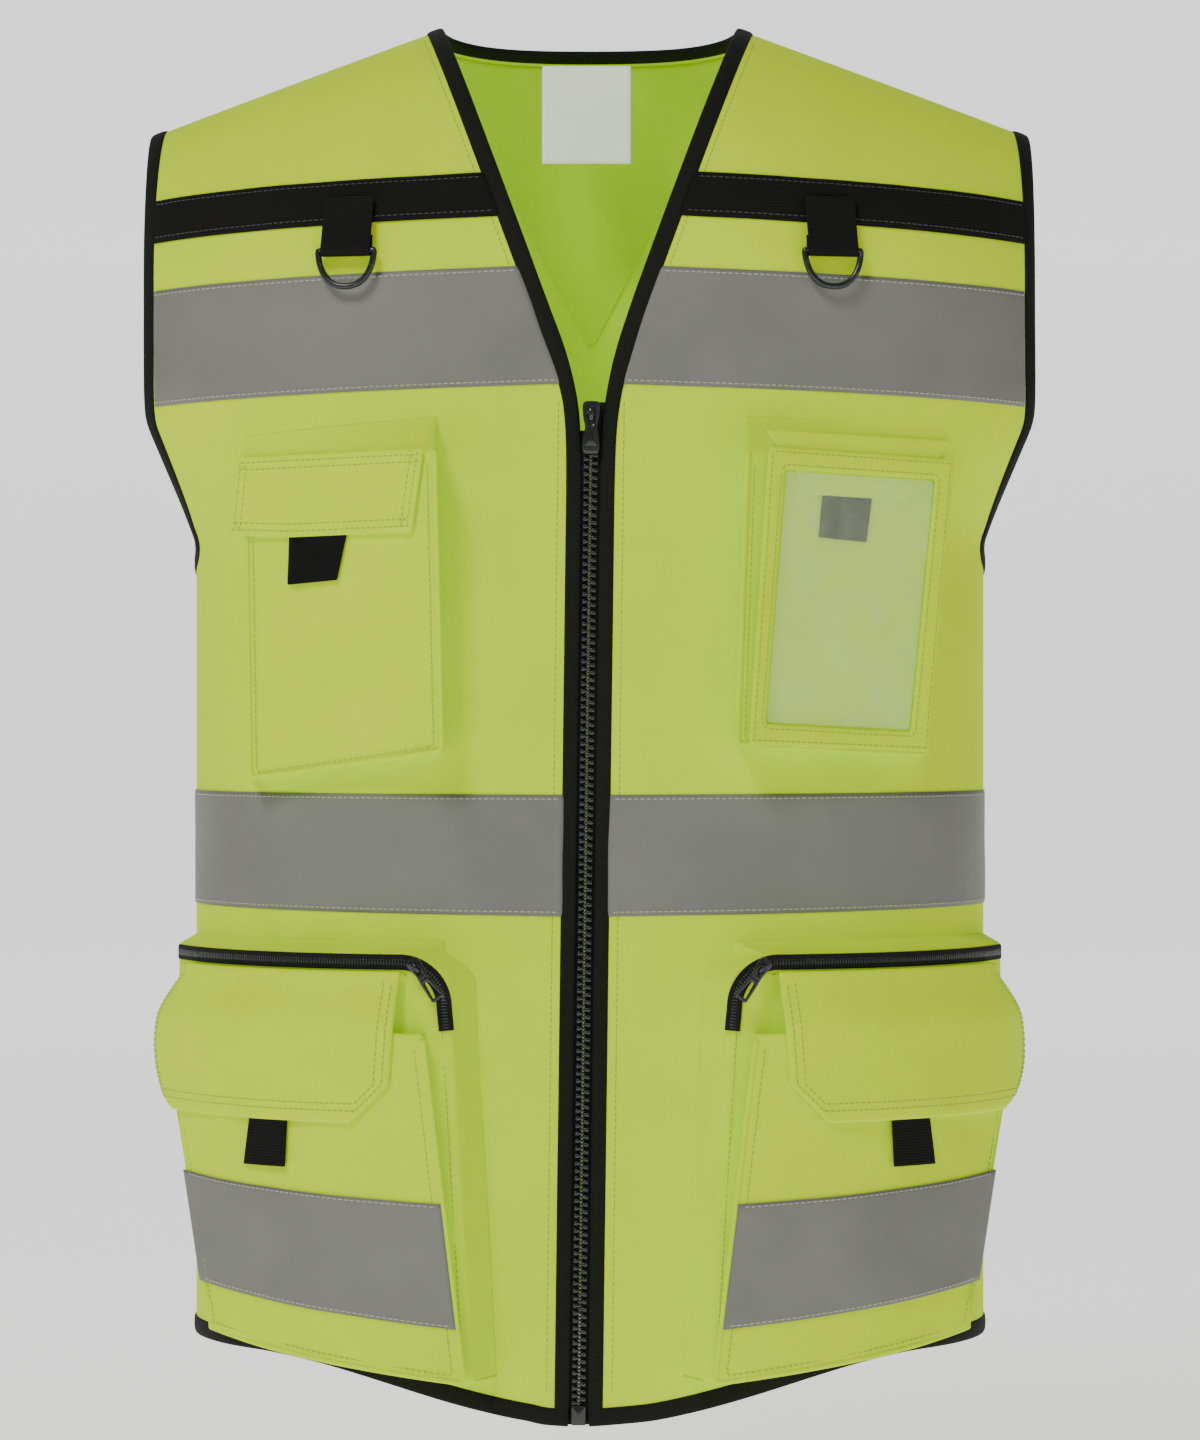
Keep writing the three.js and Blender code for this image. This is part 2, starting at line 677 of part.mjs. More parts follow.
const outerAngle = (z) => lerp(74, 53, clamp((-520 - z) / 136) ** 0.6);
const pocketFloor = (angle) => -676 + 20 * clamp(angle / 53);

// The zipped compartment against the torso, with a sloping inner side and a round top corner.
function rearPoint(s, u, v, w) {
  const slant = lerp(-6, -1.4, v) + 5 * w;
  const z0 = lerp(pocketFloor(0), -467, v);
  const angle = lerp(slant + 6 * clamp((v - 0.93) / 0.07) ** 2, outerAngle(z0), u);
  const z = lerp(pocketFloor(Math.max(0, angle)), -467, v);
  return onBend(s, angle, z, lerp(torsoRadius(angle) + 3.8, rearRadius, w));
}

function rearCompartment(s) {
  const outer = mappedBox(9, 5, (u, v, w) => rearPoint(s, u, v, w));
  const inner = mappedBox(9, 4, (u, v, w) => rearPoint(s, lerp(0.015, 0.985, u), lerp(0.01, 1.02, v), lerp(0.1, 0.9, w)));
  addNode(sideName(s) + "_zip_pocket", "yellow", outer.subtract(inner));
}

const frontInnerAngle = (z) => lerp(0.3, 7.8, clamp((z + 677) / 180));
const bulge = (z) => lerp(frontTopRadius, frontFullRadius, smooth((flapZ - z) / 30));

function frontPoint(s, u, v, w) {
  const z0 = lerp(-676, mouthZ, v);
  const angle = lerp(frontInnerAngle(z0), outerAngle(z0) - 1, u);
  const z = lerp(pocketFloor(angle), mouthZ, v);
  return onBend(s, angle, z, lerp(frontInner, bulge(z), w));
}

function frontCompartment(s) {
  const outer = mappedBox(9, 3, (u, v, w) => frontPoint(s, u, v, w));
  const inner = mappedBox(9, 3, (u, v, w) => frontPoint(s, lerp(0.01, 0.99, u), lerp(0.01, 1.02, v), lerp(0.11, 0.89, w)));
  addNode(sideName(s) + "_cargo_pocket", "yellow", outer.subtract(inner));
}

function cargoFlap(s) {
  const solid = mappedBox(10, 6, (u, v, w) => {
    const z = lerp(-549, flapZ, v);
    const inner = z > -530 ? lerp(13, 11.7, clamp((z + 530) / 55)) : lerp(19.7, 13, (z + 549) / 19);
    const outer = 63 + 13 * Math.sin(Math.PI * v ** 0.8);
    return onBend(s, lerp(inner, outer, u), z, bulge(z) + lerp(0.9, 2.3, w));
  });
  addNode(sideName(s) + "_cargo_flap", "yellow", solid);
  const tab = mappedBox(2, 1, (u, v, w) =>
    onBend(s, lerp(lerp(32.5, 41.5, u), lerp(32, 40, u), v), lerp(-572, -549.4, v), frontFullRadius + lerp(0.6, 2.1, w)));
  addNode(sideName(s) + "_cargo_flap_tab", "black", tab);
}

function cargoTape(s) {
  const solid = mappedBox(12, 1, (u, v, w) => {
    const high = lerp(-588, -579, u);
    const low = lerp(-649, -633, u);
    const z = lerp(low, high, v);
    return onBend(s, lerp(frontInnerAngle(z) + 0.5, outerAngle(z) - 1.5, u), z, frontFullRadius + lerp(0.6, 1.4, w));
  });
  addNode(sideName(s) + "_cargo_tape", "silver", solid);
}

const zipBandZ = -470.6;
const zipBandHalf = 3.6;

// The black zip along the top of the compartment, turning down round the inner corner.
function cargoZip(s) {
  const corner = 12;
  const solid = mappedBox(20, 1, (u, v, w) => {
    const angle = lerp(4.4, 72, u);
    const drop = angle < corner ? 1 - Math.sqrt(Math.max(0, 1 - ((corner - angle) / 8) ** 2)) : 0;
    const z = zipBandZ + zipBandHalf * (2 * v - 1) - 22 * drop;
    return onBend(s, angle, z, rearRadius + lerp(0.3, 1.8, w));
  });
  addNode(sideName(s) + "_cargo_zip", "black", solid);
}

const cargoSlider = { angle: 8.5, z: -473, radius: 162.2, roll: 38, scale: 0.8, pull: 26 };

function cargoZipPull(s) {
  const normal = new THREE.Vector3(s * Math.sin(cargoSlider.angle * degrees), -Math.cos(cargoSlider.angle * degrees), 0);
  const roll = cargoSlider.roll * degrees;
  const along = new THREE.Vector3(s * Math.sin(roll), 0, Math.cos(roll));
  const group = frameAt(onBend(s, cargoSlider.angle, cargoSlider.z, cargoSlider.radius), normal, along);
  group.scale.setScalar(cargoSlider.scale);
  const body = sliderSolid().subtract(block(-20, 20, -1.7, 20, -20, 20));
  addNode(sideName(s) + "_cargo_slider", "plastic", body, group);
  addNode(sideName(s) + "_cargo_pull", "plastic", pullSolid(cargoSlider.pull), group);
}

// --- neck label ----------------------------------------------------------------------------

const label = { half: 23.5, top: -4.2, height: 52, y: 55, thickness: 0.6 };

function neckLabel() {
  addNode("neck_label", "white",
    block(-label.half - 2, label.half - 2, label.y, label.y + label.thickness, label.top - label.height, label.top));
}

backPanel();
backFacing();
neckBinding();
hemBinding();
mainSlider();
retainerBox();
backBand("back_chest_tape", insideArmhole, chestTapeZ.outerLow, chestTapeZ.outerHigh);
backBand("back_waist_tape", sideSeam, waistTapeZ.outerLow, waistTapeZ.outerHigh);
idHolder();
neckLabel();
for (const s of [-1, 1]) {
  frontPanel(s);
  frontEdge(s);
  frontBinding(s);
  armholeBinding(s);
  bands(s);
  zipTape(s);
  zipTeeth(s);
  ringTab(s);
  dRing(s);
  chestPocketBody(s);
  chestHeader(s);
  chestFlap(s);
  rearCompartment(s);
  frontCompartment(s);
  cargoFlap(s);
  cargoTape(s);
  cargoZip(s);
  cargoZipPull(s);
}

export default vest;
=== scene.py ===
import bpy
import json
import math
import numpy as np
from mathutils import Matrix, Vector

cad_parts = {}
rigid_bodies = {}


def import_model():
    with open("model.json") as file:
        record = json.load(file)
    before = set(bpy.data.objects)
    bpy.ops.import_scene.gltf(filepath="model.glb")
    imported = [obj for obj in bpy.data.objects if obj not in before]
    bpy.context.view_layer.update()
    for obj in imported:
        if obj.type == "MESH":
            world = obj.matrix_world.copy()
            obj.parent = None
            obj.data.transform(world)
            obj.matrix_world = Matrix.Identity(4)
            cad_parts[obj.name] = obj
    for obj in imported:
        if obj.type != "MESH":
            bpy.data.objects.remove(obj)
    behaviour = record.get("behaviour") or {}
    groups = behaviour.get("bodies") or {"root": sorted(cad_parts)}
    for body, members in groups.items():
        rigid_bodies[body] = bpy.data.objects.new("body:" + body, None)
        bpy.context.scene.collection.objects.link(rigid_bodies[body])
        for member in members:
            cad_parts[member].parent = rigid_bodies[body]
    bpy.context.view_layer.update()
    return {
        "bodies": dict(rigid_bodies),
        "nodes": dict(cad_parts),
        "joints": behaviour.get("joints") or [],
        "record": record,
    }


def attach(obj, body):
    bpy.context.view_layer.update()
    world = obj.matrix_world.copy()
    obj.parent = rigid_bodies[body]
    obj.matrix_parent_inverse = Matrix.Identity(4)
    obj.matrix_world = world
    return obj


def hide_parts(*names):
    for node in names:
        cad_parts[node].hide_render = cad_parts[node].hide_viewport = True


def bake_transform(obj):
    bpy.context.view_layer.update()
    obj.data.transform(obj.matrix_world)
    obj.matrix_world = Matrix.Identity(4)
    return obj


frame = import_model()
print("frame loaded:", len(frame["nodes"]), "nodes")

mm = 0.001
# the torso that the cloth follows: widths are from the middle, heights from the level of the shoulders
torso = {"waist": 203 * mm, "chest": 245 * mm, "flat": 60 * mm, "depth": 120 * mm, "seam": 0.4 * mm,
         "underarm": -269 * mm, "chestZ": -180 * mm, "rounding": -132 * mm,
         "frontHem": -701 * mm, "sideHem": -668 * mm, "backHem": -676 * mm, "hemCurve": 170 * mm,
         "neck": 75 * mm, "neckPoint": 5 * mm, "neckRise": 12 * mm, "slope": 0.367,
         "armhole": 227 * mm, "armholeRise": 67 * mm, "binding": 9 * mm,
         "backNeck": 3 * mm, "backNeckPanel": -3.5 * mm,
         "crease": 36 * mm, "zipTop": -194 * mm, "zipBand": 12 * mm, "zipTopX": 1 * mm,
         "zipBottomX": -5.5 * mm, "straighten": 65 * mm}
neckPanel = torso["neck"] + torso["binding"]
sides = {-1: "right", 1: "left"}


# numbers and shapes

def mix(a, b, t):
    return a + (b - a) * t


def smooth(t):
    t = np.clip(t, 0, 1)
    return t * t * (3 - 2 * t)


def unit(v):
    return v / np.maximum(np.linalg.norm(v, axis=-1, keepdims=True), 1e-12)


def ramp(t, xs, ys):
    return np.interp(t, xs, ys)


def halfWidth(z):
    rise = (z - torso["underarm"]) / (torso["chestZ"] - torso["underarm"])
    return mix(torso["waist"], torso["chest"], smooth(rise))


def shoulderZ(x):
    out = np.abs(x) - torso["neck"]
    inside = torso["neckPoint"] + torso["neckRise"] * (1 - (x / torso["neck"]) ** 2)
    return np.where(out > 0, torso["neckPoint"] - out * torso["slope"], inside)


def depthSquared(x, z):
    # ellipse across, quarter ellipse up to the shoulder line
    a = np.maximum(0, np.abs(x) - torso["flat"]) / (halfWidth(z) - torso["flat"])
    top = shoulderZ(x)
    t = np.clip((top - z) / (top - torso["rounding"]), 0, 1)
    return (2 * t - t * t) * (1 - a * a) * torso["depth"] ** 2


def normalAt(x, z, side):
    step = 0.00005
    depth = np.sqrt(np.maximum(0, depthSquared(x, z)))
    slopeX = (depthSquared(x + step, z) - depthSquared(x - step, z)) / (2 * step)
    slopeZ = (depthSquared(x, z + step) - depthSquared(x, z - step)) / (2 * step)
    return unit(np.stack([-slopeX, 2 * depth * side + 0 * x, -slopeZ], -1))


def skin(x, z, side, offset=0.0):
    # point of the torso at x and z, moved out along its normal
    x, z, offset = np.broadcast_arrays(*(np.asarray(value, float) for value in (x, z, offset)))
    depth = np.sqrt(np.maximum(0, depthSquared(x, z)))
    point = np.stack([x, side * (depth + torso["seam"]), z], -1)
    return point + normalAt(x, z, side) * offset[..., None]


def armholeX(z):
    t = np.clip((z - torso["underarm"]) / torso["armholeRise"], 0, 1)
    return mix(torso["waist"] + mm, torso["armhole"], t ** 1.2)


def hemZ(x, side):
    centre = torso["frontHem"] if side < 0 else torso["backHem"]
    return mix(centre, torso["sideHem"], smooth(np.abs(x) / torso["hemCurve"]))


def zipX(z):
    fall = (torso["zipTop"] - z) / (torso["zipTop"] - torso["frontHem"])
    below = mix(torso["zipTopX"], torso["zipBottomX"], fall)
    above = torso["zipTopX"] * np.clip(1 - (z - torso["zipTop"]) / torso["straighten"], 0, 1)
    return np.where(z > torso["zipTop"], above, below)


neckSlope = (neckPanel - torso["zipBand"]) / (float(shoulderZ(neckPanel)) - torso["zipTop"])


def neckEdgeX(z):
    return torso["zipBand"] + neckSlope * (z - torso["zipTop"])


def ripple(x, z, seed, size=0.06):
    # a few crossed sine waves with fixed phases, from about -1 to 1: soft cloth unevenness
    total = 0
    for k in range(5):
        a = seed * 1.7 + k * 2.399
        f = (2 * math.pi / size) * (0.6 + 0.23 * k)
        total = total + np.sin(f * (x * math.cos(a) + z * math.sin(a)) + seed * 3.1 + k) / (1 + 0.6 * k)
    return total / 2.4


def grid(nu, nv):
    return np.meshgrid(np.linspace(0, 1, nu), np.linspace(0, 1, nv))


def runLength(points):
    # distance along a line of points, from 0 at its first point
    return np.concatenate([[0], np.cumsum(np.linalg.norm(np.diff(points, axis=0), axis=1))])


def sample(at, run, values):
    return np.stack([np.interp(at, run, values[:, k]) for k in range(values.shape[1])], -1)


def relax(line, rounds, closed=False):
    # each point moves half way to the middle of its neighbours; the ends of an open line stay
    for _ in range(rounds):
        if closed:
            line = (np.roll(line, 1, 0) + line * 2 + np.roll(line, -1, 0)) / 4
        else:
            line[1:-1] = (line[:-2] + line[1:-1] * 2 + line[2:]) / 4
    return line


def stationsAlong(middle, across, normal, profile):
    # stations for sweepPiece: the profile's x lies across the line and its y along the normal
    return middle[:, None] + across[:, None] * profile[..., :1] + normal[:, None] * profile[..., 1:]


# meshes

def meshObject(name, points, faces, uv=None):
    mesh = bpy.data.meshes.new(name)
    mesh.from_pydata(points.reshape(-1, 3).tolist(), [], faces)
    mesh.update()
    if uv is not None:
        layer = mesh.uv_layers.new(name="UVMap")
        corner = np.zeros(len(mesh.loops), np.int32)
        mesh.loops.foreach_get("vertex_index", corner)
        layer.data.foreach_set("uv", np.asarray(uv, np.float32).reshape(-1, 2)[corner].ravel())
    mesh.polygons.foreach_set("use_smooth", [True] * len(mesh.polygons))
    piece = bpy.data.objects.new(name, mesh)
    bpy.context.scene.collection.objects.link(piece)
    return piece


def quads(nv, nu, start=0, wrapU=False, wrapV=False):
    i = np.arange(nv if wrapV else nv - 1)
    j = np.arange(nu if wrapU else nu - 1)
    jj, ii = np.meshgrid(j, i)
    a = ii * nu + jj
    b = ii * nu + (jj + 1) % nu
    c = ((ii + 1) % nv) * nu + (jj + 1) % nu
    d = ((ii + 1) % nv) * nu + jj
    return np.stack([a, b, c, d], -1).reshape(-1, 4) + start


def faceOut(points, faces):
    # turns every face round if the closed shape measures a negative volume
    p = points.reshape(-1, 3)
    a, b, c, d = (p[faces[:, k]] for k in range(4))
    volume = (a * np.cross(b, c)).sum() + (a * np.cross(c, d)).sum()
    return faces[:, ::-1] if volume < 0 else faces


def rim(nv, nu, start):
    # side faces that join two stacked grids along their four edges
    top = np.arange(nu)
    bottom = (nv - 1) * nu + np.arange(nu)
    left = np.arange(nv) * nu
    right = left + nu - 1
    loop = np.concatenate([top[:-1], right[:-1], bottom[::-1][:-1], left[::-1][:-1]])
    after = np.roll(loop, -1)
    return np.stack([loop, loop + start, after + start, after], -1)


def sheetPiece(name, inner, outer, uv):
    # two grids of points a thickness apart, closed round the edge
    nv, nu = inner.shape[:2]
    count = nv * nu
    points = np.concatenate([outer.reshape(-1, 3), inner.reshape(-1, 3)])
    faces = np.concatenate([quads(nv, nu), quads(nv, nu, count)[:, ::-1], rim(nv, nu, count)])
    return meshObject(name, points, faceOut(points, faces).tolist(), np.concatenate([uv.reshape(-1, 2)] * 2))


def sweepPiece(name, stations, closedPath=False):
    # stations: path by profile by 3, the profile closed on itself; ends are capped to their middles
    n, m = stations.shape[:2]
    points = stations.reshape(-1, 3)
    faces = quads(n, m, 0, wrapU=True, wrapV=closedPath)
    middle = stations.mean(1)
    run = runLength(middle)
    ring = np.linalg.norm(np.roll(stations, -1, 1) - stations, axis=2).mean(0)
    across = np.concatenate([[0], np.cumsum(ring)[:-1]])
    uv = np.stack(np.meshgrid(across, run), -1)
    if not closedPath:
        points = np.concatenate([points, middle[:1], middle[-1:]])
        k = np.arange(m)
        after = (k + 1) % m
        start, end = np.full(m, n * m), np.full(m, n * m + 1)
        base = (n - 1) * m
        first = np.stack([after, k, start, start], -1)
        last = np.stack([k + base, after + base, end, end], -1)
        faces = np.concatenate([faces, first, last])
        uv = np.concatenate([uv.reshape(-1, 2), [[0, 0], [0, run[-1]]]])
    # a cap face names its middle point twice, which makes it a triangle
    trimmed = [list(dict.fromkeys(f)) for f in faceOut(points, faces).tolist()]
    return meshObject(name, points, trimmed, uv)


def ovalProfile(count, wide, thick, power=3.2):
    # rounded flat section: x across, y through, from a superellipse
    a = np.linspace(0, 2 * math.pi, count, endpoint=False)
    circle = np.stack([np.cos(a), np.sin(a)], -1)
    return np.array([wide, thick]) / 2 * np.sign(circle) * np.abs(circle) ** (2 / power)


def finish(piece, slotName, material, body, *nodes):
    piece.data.materials.clear()
    piece.data.materials.append(material)
    if nodes:
        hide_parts(*nodes)
    if isinstance(body, str):
        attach(piece, body)
    elif body:
        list(body)
        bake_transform(piece)
    return piece


# materials

class Sock:
    # a shader value that adds its Math nodes as it is worked with
    def __init__(self, shade, socket):
        self.shade, self.socket = shade, socket

    def make(self, kind, other=0.0, swap=False):
        pair = (other, self) if swap else (self, other)
        return self.shade.node("ShaderNodeMath", {"operation": kind}, pair)

    def __add__(self, o): return self.make("ADD", o)
    def __radd__(self, o): return self.make("ADD", o)
    def __sub__(self, o): return self.make("SUBTRACT", o)
    def __rsub__(self, o): return self.make("SUBTRACT", o, swap=True)
    def __mul__(self, o): return self.make("MULTIPLY", o)
    def sin(self): return self.make("SINE")
    def clip(self): return self.make("MAXIMUM", 0.0).make("MINIMUM", 1.0)


class Shade:
    def __init__(self, name, rough, metal=0.0, **fixed):
        self.material = bpy.data.materials.new(name)
        self.material.use_nodes = True
        self.tree = self.material.node_tree
        self.shader = self.tree.nodes["Principled BSDF"]
        self.shader.inputs["Roughness"].default_value = rough
        self.shader.inputs["Metallic"].default_value = metal
        for key, value in fixed.items():
            self.shader.inputs[key.replace("_", " ")].default_value = value

    def node(self, kind, settings, inputs, out=0):
        made = self.tree.nodes.new(kind)
        for key, value in settings.items():
            setattr(made, key, value)
        pairs = inputs.items() if isinstance(inputs, dict) else enumerate(inputs)
        for key, value in pairs:
            if isinstance(value, Sock):
                self.tree.links.new(value.socket, made.inputs[key])
            else:
                made.inputs[key].default_value = value
        return Sock(self, made.outputs[out])

    def place(self, kind="Object"):
        return self.node("ShaderNodeTexCoord", {}, {}, kind)

    def split(self, vector):
        made = self.node("ShaderNodeSeparateXYZ", {}, [vector])
        return [Sock(self, made.socket.node.outputs[k]) for k in range(3)]

    def noise(self, vector, scale, detail=4.0, rough=0.55):
        values = {"Vector": vector, "Scale": scale, "Detail": detail, "Roughness": rough}
        return self.node("ShaderNodeTexNoise", {}, values)

    def blendColour(self, factor, a, b):
        # the colour inputs of a Mix node are its 6 and 7, and its colour output is 2
        return self.node("ShaderNodeMix", {"data_type": "RGBA"}, {0: factor, 6: a, 7: b}, 2)

    def feed(self, name, value):
        self.tree.links.new(value.socket, self.shader.inputs[name])

    def bump(self, height, distance, strength=1.0, under=None):
        values = {"Height": height, "Distance": distance, "Strength": strength}
        if under is not None:
            values["Normal"] = under
        return self.node("ShaderNodeBump", {}, values)


def rgba(r, g, b, a=1.0):
    return (r, g, b, a)


# glow is the cloth's own emission strength: painted light that brightens the cloth
clothLook = {"base": rgba(0.62, 0.87, 0.0), "shade": rgba(0.52, 0.75, 0.0), "light": rgba(0.72, 0.95, 0.0),
             "pitch": 0.00075, "depth": 0.00012, "rough": 0.82, "glow": 0.16}


def knitHeight(x, z, pitch):
    # fine diagonal knit: two crossed sine ridges, every other row shifted
    k = 2 * math.pi / pitch
    wale = (x * k + (z * k * 0.5).sin() * 0.9).sin()
    course = (z * (k * 1.3) + (x * k).sin() * 0.5).sin()
    return wale * 0.5 + course * 0.5


def clothMaterial(name="hiVisKnit", inside=False):
    s = Shade(name, clothLook["rough"], Specular_IOR_Level=0.12)
    place = s.place()
    x, y, z = s.split(place)
    side = x + y * 0.8
    knit = knitHeight(side, z, clothLook["pitch"])
    soft = s.noise(place, 22.0, 3.0)
    mottle = s.noise(place, 420.0, 3.0, 0.7)
    tone = s.blendColour(soft, clothLook["shade"], clothLook["base"])
    tone = s.blendColour(((mottle - 0.42) * 3.0).clip() * 0.22, tone, clothLook["light"])
    # darker in the knit's grooves: painted shade
    tone = s.blendColour((0.5 - knit * 0.5) * 0.16, tone, clothLook["shade"])
    s.feed("Base Color", tone)
    # the cloth glows in its own colour: painted light
    s.feed("Emission Color", tone)
    # inside halves the glow: painted shade for cloth that lies in shade inside the back
    s.shader.inputs["Emission Strength"].default_value = clothLook["glow"] * (0.5 if inside else 1.0)
    s.feed("Roughness", clothLook["rough"] + (mottle - 0.5) * 0.12)
    creases = s.noise(place, 38.0, 5.0, 0.6)
    folds = s.bump(creases, 0.0011, 0.35)
    s.feed("Normal", s.bump(knit * 0.5 + mottle * 0.5, clothLook["depth"], 0.55, folds))
    return s.material


bindingLook = {"base": rgba(0.007, 0.0078, 0.005), "light": rgba(0.020, 0.021, 0.016),
               "rib": 0.0009, "rough": 0.78}


def ribbedMaterial(name, look, depth=0.00018):
    # woven ribs that follow the piece's own map: x across it, y along it
    s = Shade(name, look["rough"], Specular_IOR_Level=0.16)
    cross, main, _ = s.split(s.place("UV"))
    rib = (main * (2 * math.pi / look["rib"])).sin()
    thread = (cross * (2 * math.pi / (look["rib"] * 0.8))).sin() * rib
    fuzz = s.noise(s.place(), 900.0, 3.0, 0.7)
    # lighter on the rib crests and darker between them: painted shade; the fuzz adds random tone
    tone = s.blendColour((rib * 0.5 + 0.5) * 0.35 + (fuzz - 0.4) * 0.5, look["base"], look["light"])
    s.feed("Base Color", tone)
    s.feed("Roughness", look["rough"] + (fuzz - 0.5) * 0.2)
    s.feed("Normal", s.bump(rib * 0.6 + thread * 0.3 + fuzz * 0.3, depth, 0.7))
    return s.material


tapeLook = {"light": rgba(0.245, 0.25, 0.215), "dark": rgba(0.155, 0.16, 0.135), "rough": 0.55}


def reflectiveMaterial():
    # glass-bead film: fine sparkle, faint scuffs and creases
    s = Shade("reflectiveFilm", tapeLook["rough"], 0.1, Specular_IOR_Level=0.3)
    place = s.place()
    beads = s.noise(place, 2600.0, 2.0, 0.8)
    cloud = s.noise(place, 14.0, 4.0, 0.6)
    scuff = s.noise(place, 160.0, 5.0, 0.75)
    tone = s.blendColour(cloud, tapeLook["dark"], tapeLook["light"])
    tone = s.blendColour(((beads - 0.5) * 4.0).clip() * 0.35, tone, tapeLook["light"])
    tone = s.blendColour(((0.36 - scuff) * 6.0).clip() * 0.3, tone, tapeLook["dark"])
    s.feed("Base Color", tone)
    s.feed("Roughness", tapeLook["rough"] + (scuff - 0.5) * 0.25 + (beads - 0.5) * 0.1)
    s.feed("Normal", s.bump(beads, 0.00006, 0.5, s.bump(cloud + scuff * 0.15, 0.0016, 0.3)))
    return s.material


def plasticMaterial():
    s = Shade("zipPlastic", 0.24, Coat_Weight=0.35, Coat_Roughness=0.12, Specular_IOR_Level=0.5)
    place = s.place()
    grain = s.noise(place, 700.0, 3.0)
    wear = s.noise(place, 120.0, 4.0)
    s.feed("Base Color", s.blendColour(wear, rgba(0.004, 0.005, 0.005), rgba(0.016, 0.017, 0.017)))
    s.feed("Roughness", 0.2 + wear * 0.16)
    s.feed("Normal", s.bump(grain, 0.00004, 0.3))
    return s.material


def ringMaterial():
    s = Shade("lacqueredSteel", 0.3, 0.85, Coat_Weight=0.4, Coat_Roughness=0.2)
    place = s.place()
    wear = s.noise(place, 260.0, 5.0, 0.7)
    grain = s.noise(place, 1500.0, 2.0)
    worn = ((wear - 0.56) * 5.0).clip()
    s.feed("Base Color", s.blendColour(worn, rgba(0.035, 0.036, 0.037), rgba(0.16, 0.16, 0.155)))
    s.feed("Roughness", 0.25 + wear * 0.2)
    s.feed("Normal", s.bump(grain, 0.00003, 0.4))
    return s.material


def windowMaterial():
    # clear soft sheet with long shallow creases and a milky haze
    s = Shade("clearSheet", 0.07, Specular_IOR_Level=0.6, Coat_Weight=0.5, Coat_Roughness=0.05)
    place = s.place()
    haze = s.noise(place, 60.0, 4.0, 0.6)
    s.feed("Base Color", s.blendColour(haze, rgba(0.80, 0.92, 0.55), rgba(0.95, 1.0, 0.85)))
    s.feed("Alpha", 0.13 + (haze - 0.5) * 0.12)
    s.feed("Roughness", 0.05 + haze * 0.06)
    s.feed("Normal", s.bump(s.noise(place, 24.0, 2.0, 0.4), 0.004, 0.5))
    return s.material


def labelMaterial():
    s = Shade("satinLabel", 0.55)
    # the label glows a little white: painted light that brightens it
    s.shader.inputs["Emission Color"].default_value = rgba(1, 1, 0.97)
    s.shader.inputs["Emission Strength"].default_value = 0.35
    place = s.place()
    x, _, z = s.split(place)
    weave = (x * 9000.0).sin() * (z * 9000.0).sin()
    cloud = s.noise(place, 60.0, 3.0)
    s.feed("Base Color", s.blendColour(cloud, rgba(0.80, 0.80, 0.77), rgba(0.93, 0.93, 0.91)))
    s.feed("Roughness", 0.5 + cloud * 0.15)
    s.feed("Normal", s.bump(weave, 0.00005, 0.5))
    return s.material


def threadMaterial(name, dark, light):
    s = Shade(name, 0.6, Sheen_Weight=0.3)
    fuzz = s.noise(s.place(), 2500.0, 2.0)
    s.feed("Base Color", s.blendColour(fuzz, dark, light))
    s.feed("Normal", s.bump(fuzz, 0.00005, 0.5))
    return s.material


webLook = {"base": rgba(0.005, 0.005, 0.0045), "light": rgba(0.018, 0.018, 0.015),
           "rib": 0.0014, "rough": 0.85}
zipTapeLook = {"base": rgba(0.0090, 0.0095, 0.0085), "light": rgba(0.026, 0.027, 0.024),
               "rib": 0.0007, "rough": 0.82}
cloth = clothMaterial()
# the inside copy glows half as much as the outside: painted shade
shadedClothInside = clothMaterial("hiVisKnitInsideShaded", True)
binding = ribbedMaterial("bindingTape", bindingLook)
webbing = ribbedMaterial("wovenWebbing", webLook, depth=0.0003)
zipTape = ribbedMaterial("zipTapeWeave", zipTapeLook)
reflective = reflectiveMaterial()
plastic = plasticMaterial()
metal = ringMaterial()
clear = windowMaterial()
labelCloth = labelMaterial()
limeThread = threadMaterial("limeThread", rgba(0.30, 0.46, 0.0), rgba(0.46, 0.64, 0.01))
greyThread = threadMaterial("greyThread", rgba(0.36, 0.38, 0.24), rgba(0.55, 0.58, 0.40))
blackThread = threadMaterial("blackThread", rgba(0.01, 0.01, 0.01), rgba(0.05, 0.05, 0.045))
print("materials made")


def finishCloth(piece, body, *nodes):
    return finish(piece, "hi_vis_cloth", cloth, body, *nodes)


def finishPlastic(piece, body, *nodes):
    return finish(piece, "zip_plastic", plastic, body, *nodes)


def finishBinding(piece, body, *nodes):
    return finish(piece, "black_binding", binding, body, *nodes)


# cloth of the body

panelLook = {"inner": 0.2 * mm, "outer": 1.2 * mm, "tuck": 3 * mm, "puff": 1.1 * mm, "share": 0.55,
             "fold": 5 * mm}


def puff(x, z, side):
    # gentle swell of the cloth, dying out towards the side and shoulder seams
    toSide = smooth((halfWidth(z) - np.abs(x)) / 0.05)
    toTop = smooth((shoulderZ(x) - z) / 0.06)
    slow = ripple(x, z, 1.3 + side, 0.16)
    quick = ripple(x, z * 0.6, 4.1 + side, 0.05)
    hem = smooth((z + 0.70) / 0.05) * 0.5 + 0.5
    return panelLook["puff"] * (slow * 0.8 + quick * 0.35) * toSide * toTop * hem


def cover(x, z, side, offset):
    # like skin, but riding on the swell of the cloth
    return skin(x, z, side, offset + puff(x, z, side))


def leanAt(x, z):
    # how far the zip's lean carries a point at distance x from the middle
    return zipX(z) * (1 - smooth((x - 0.014) / 0.018))


def underarmPanel():
    return torso["underarm"] - torso["binding"]


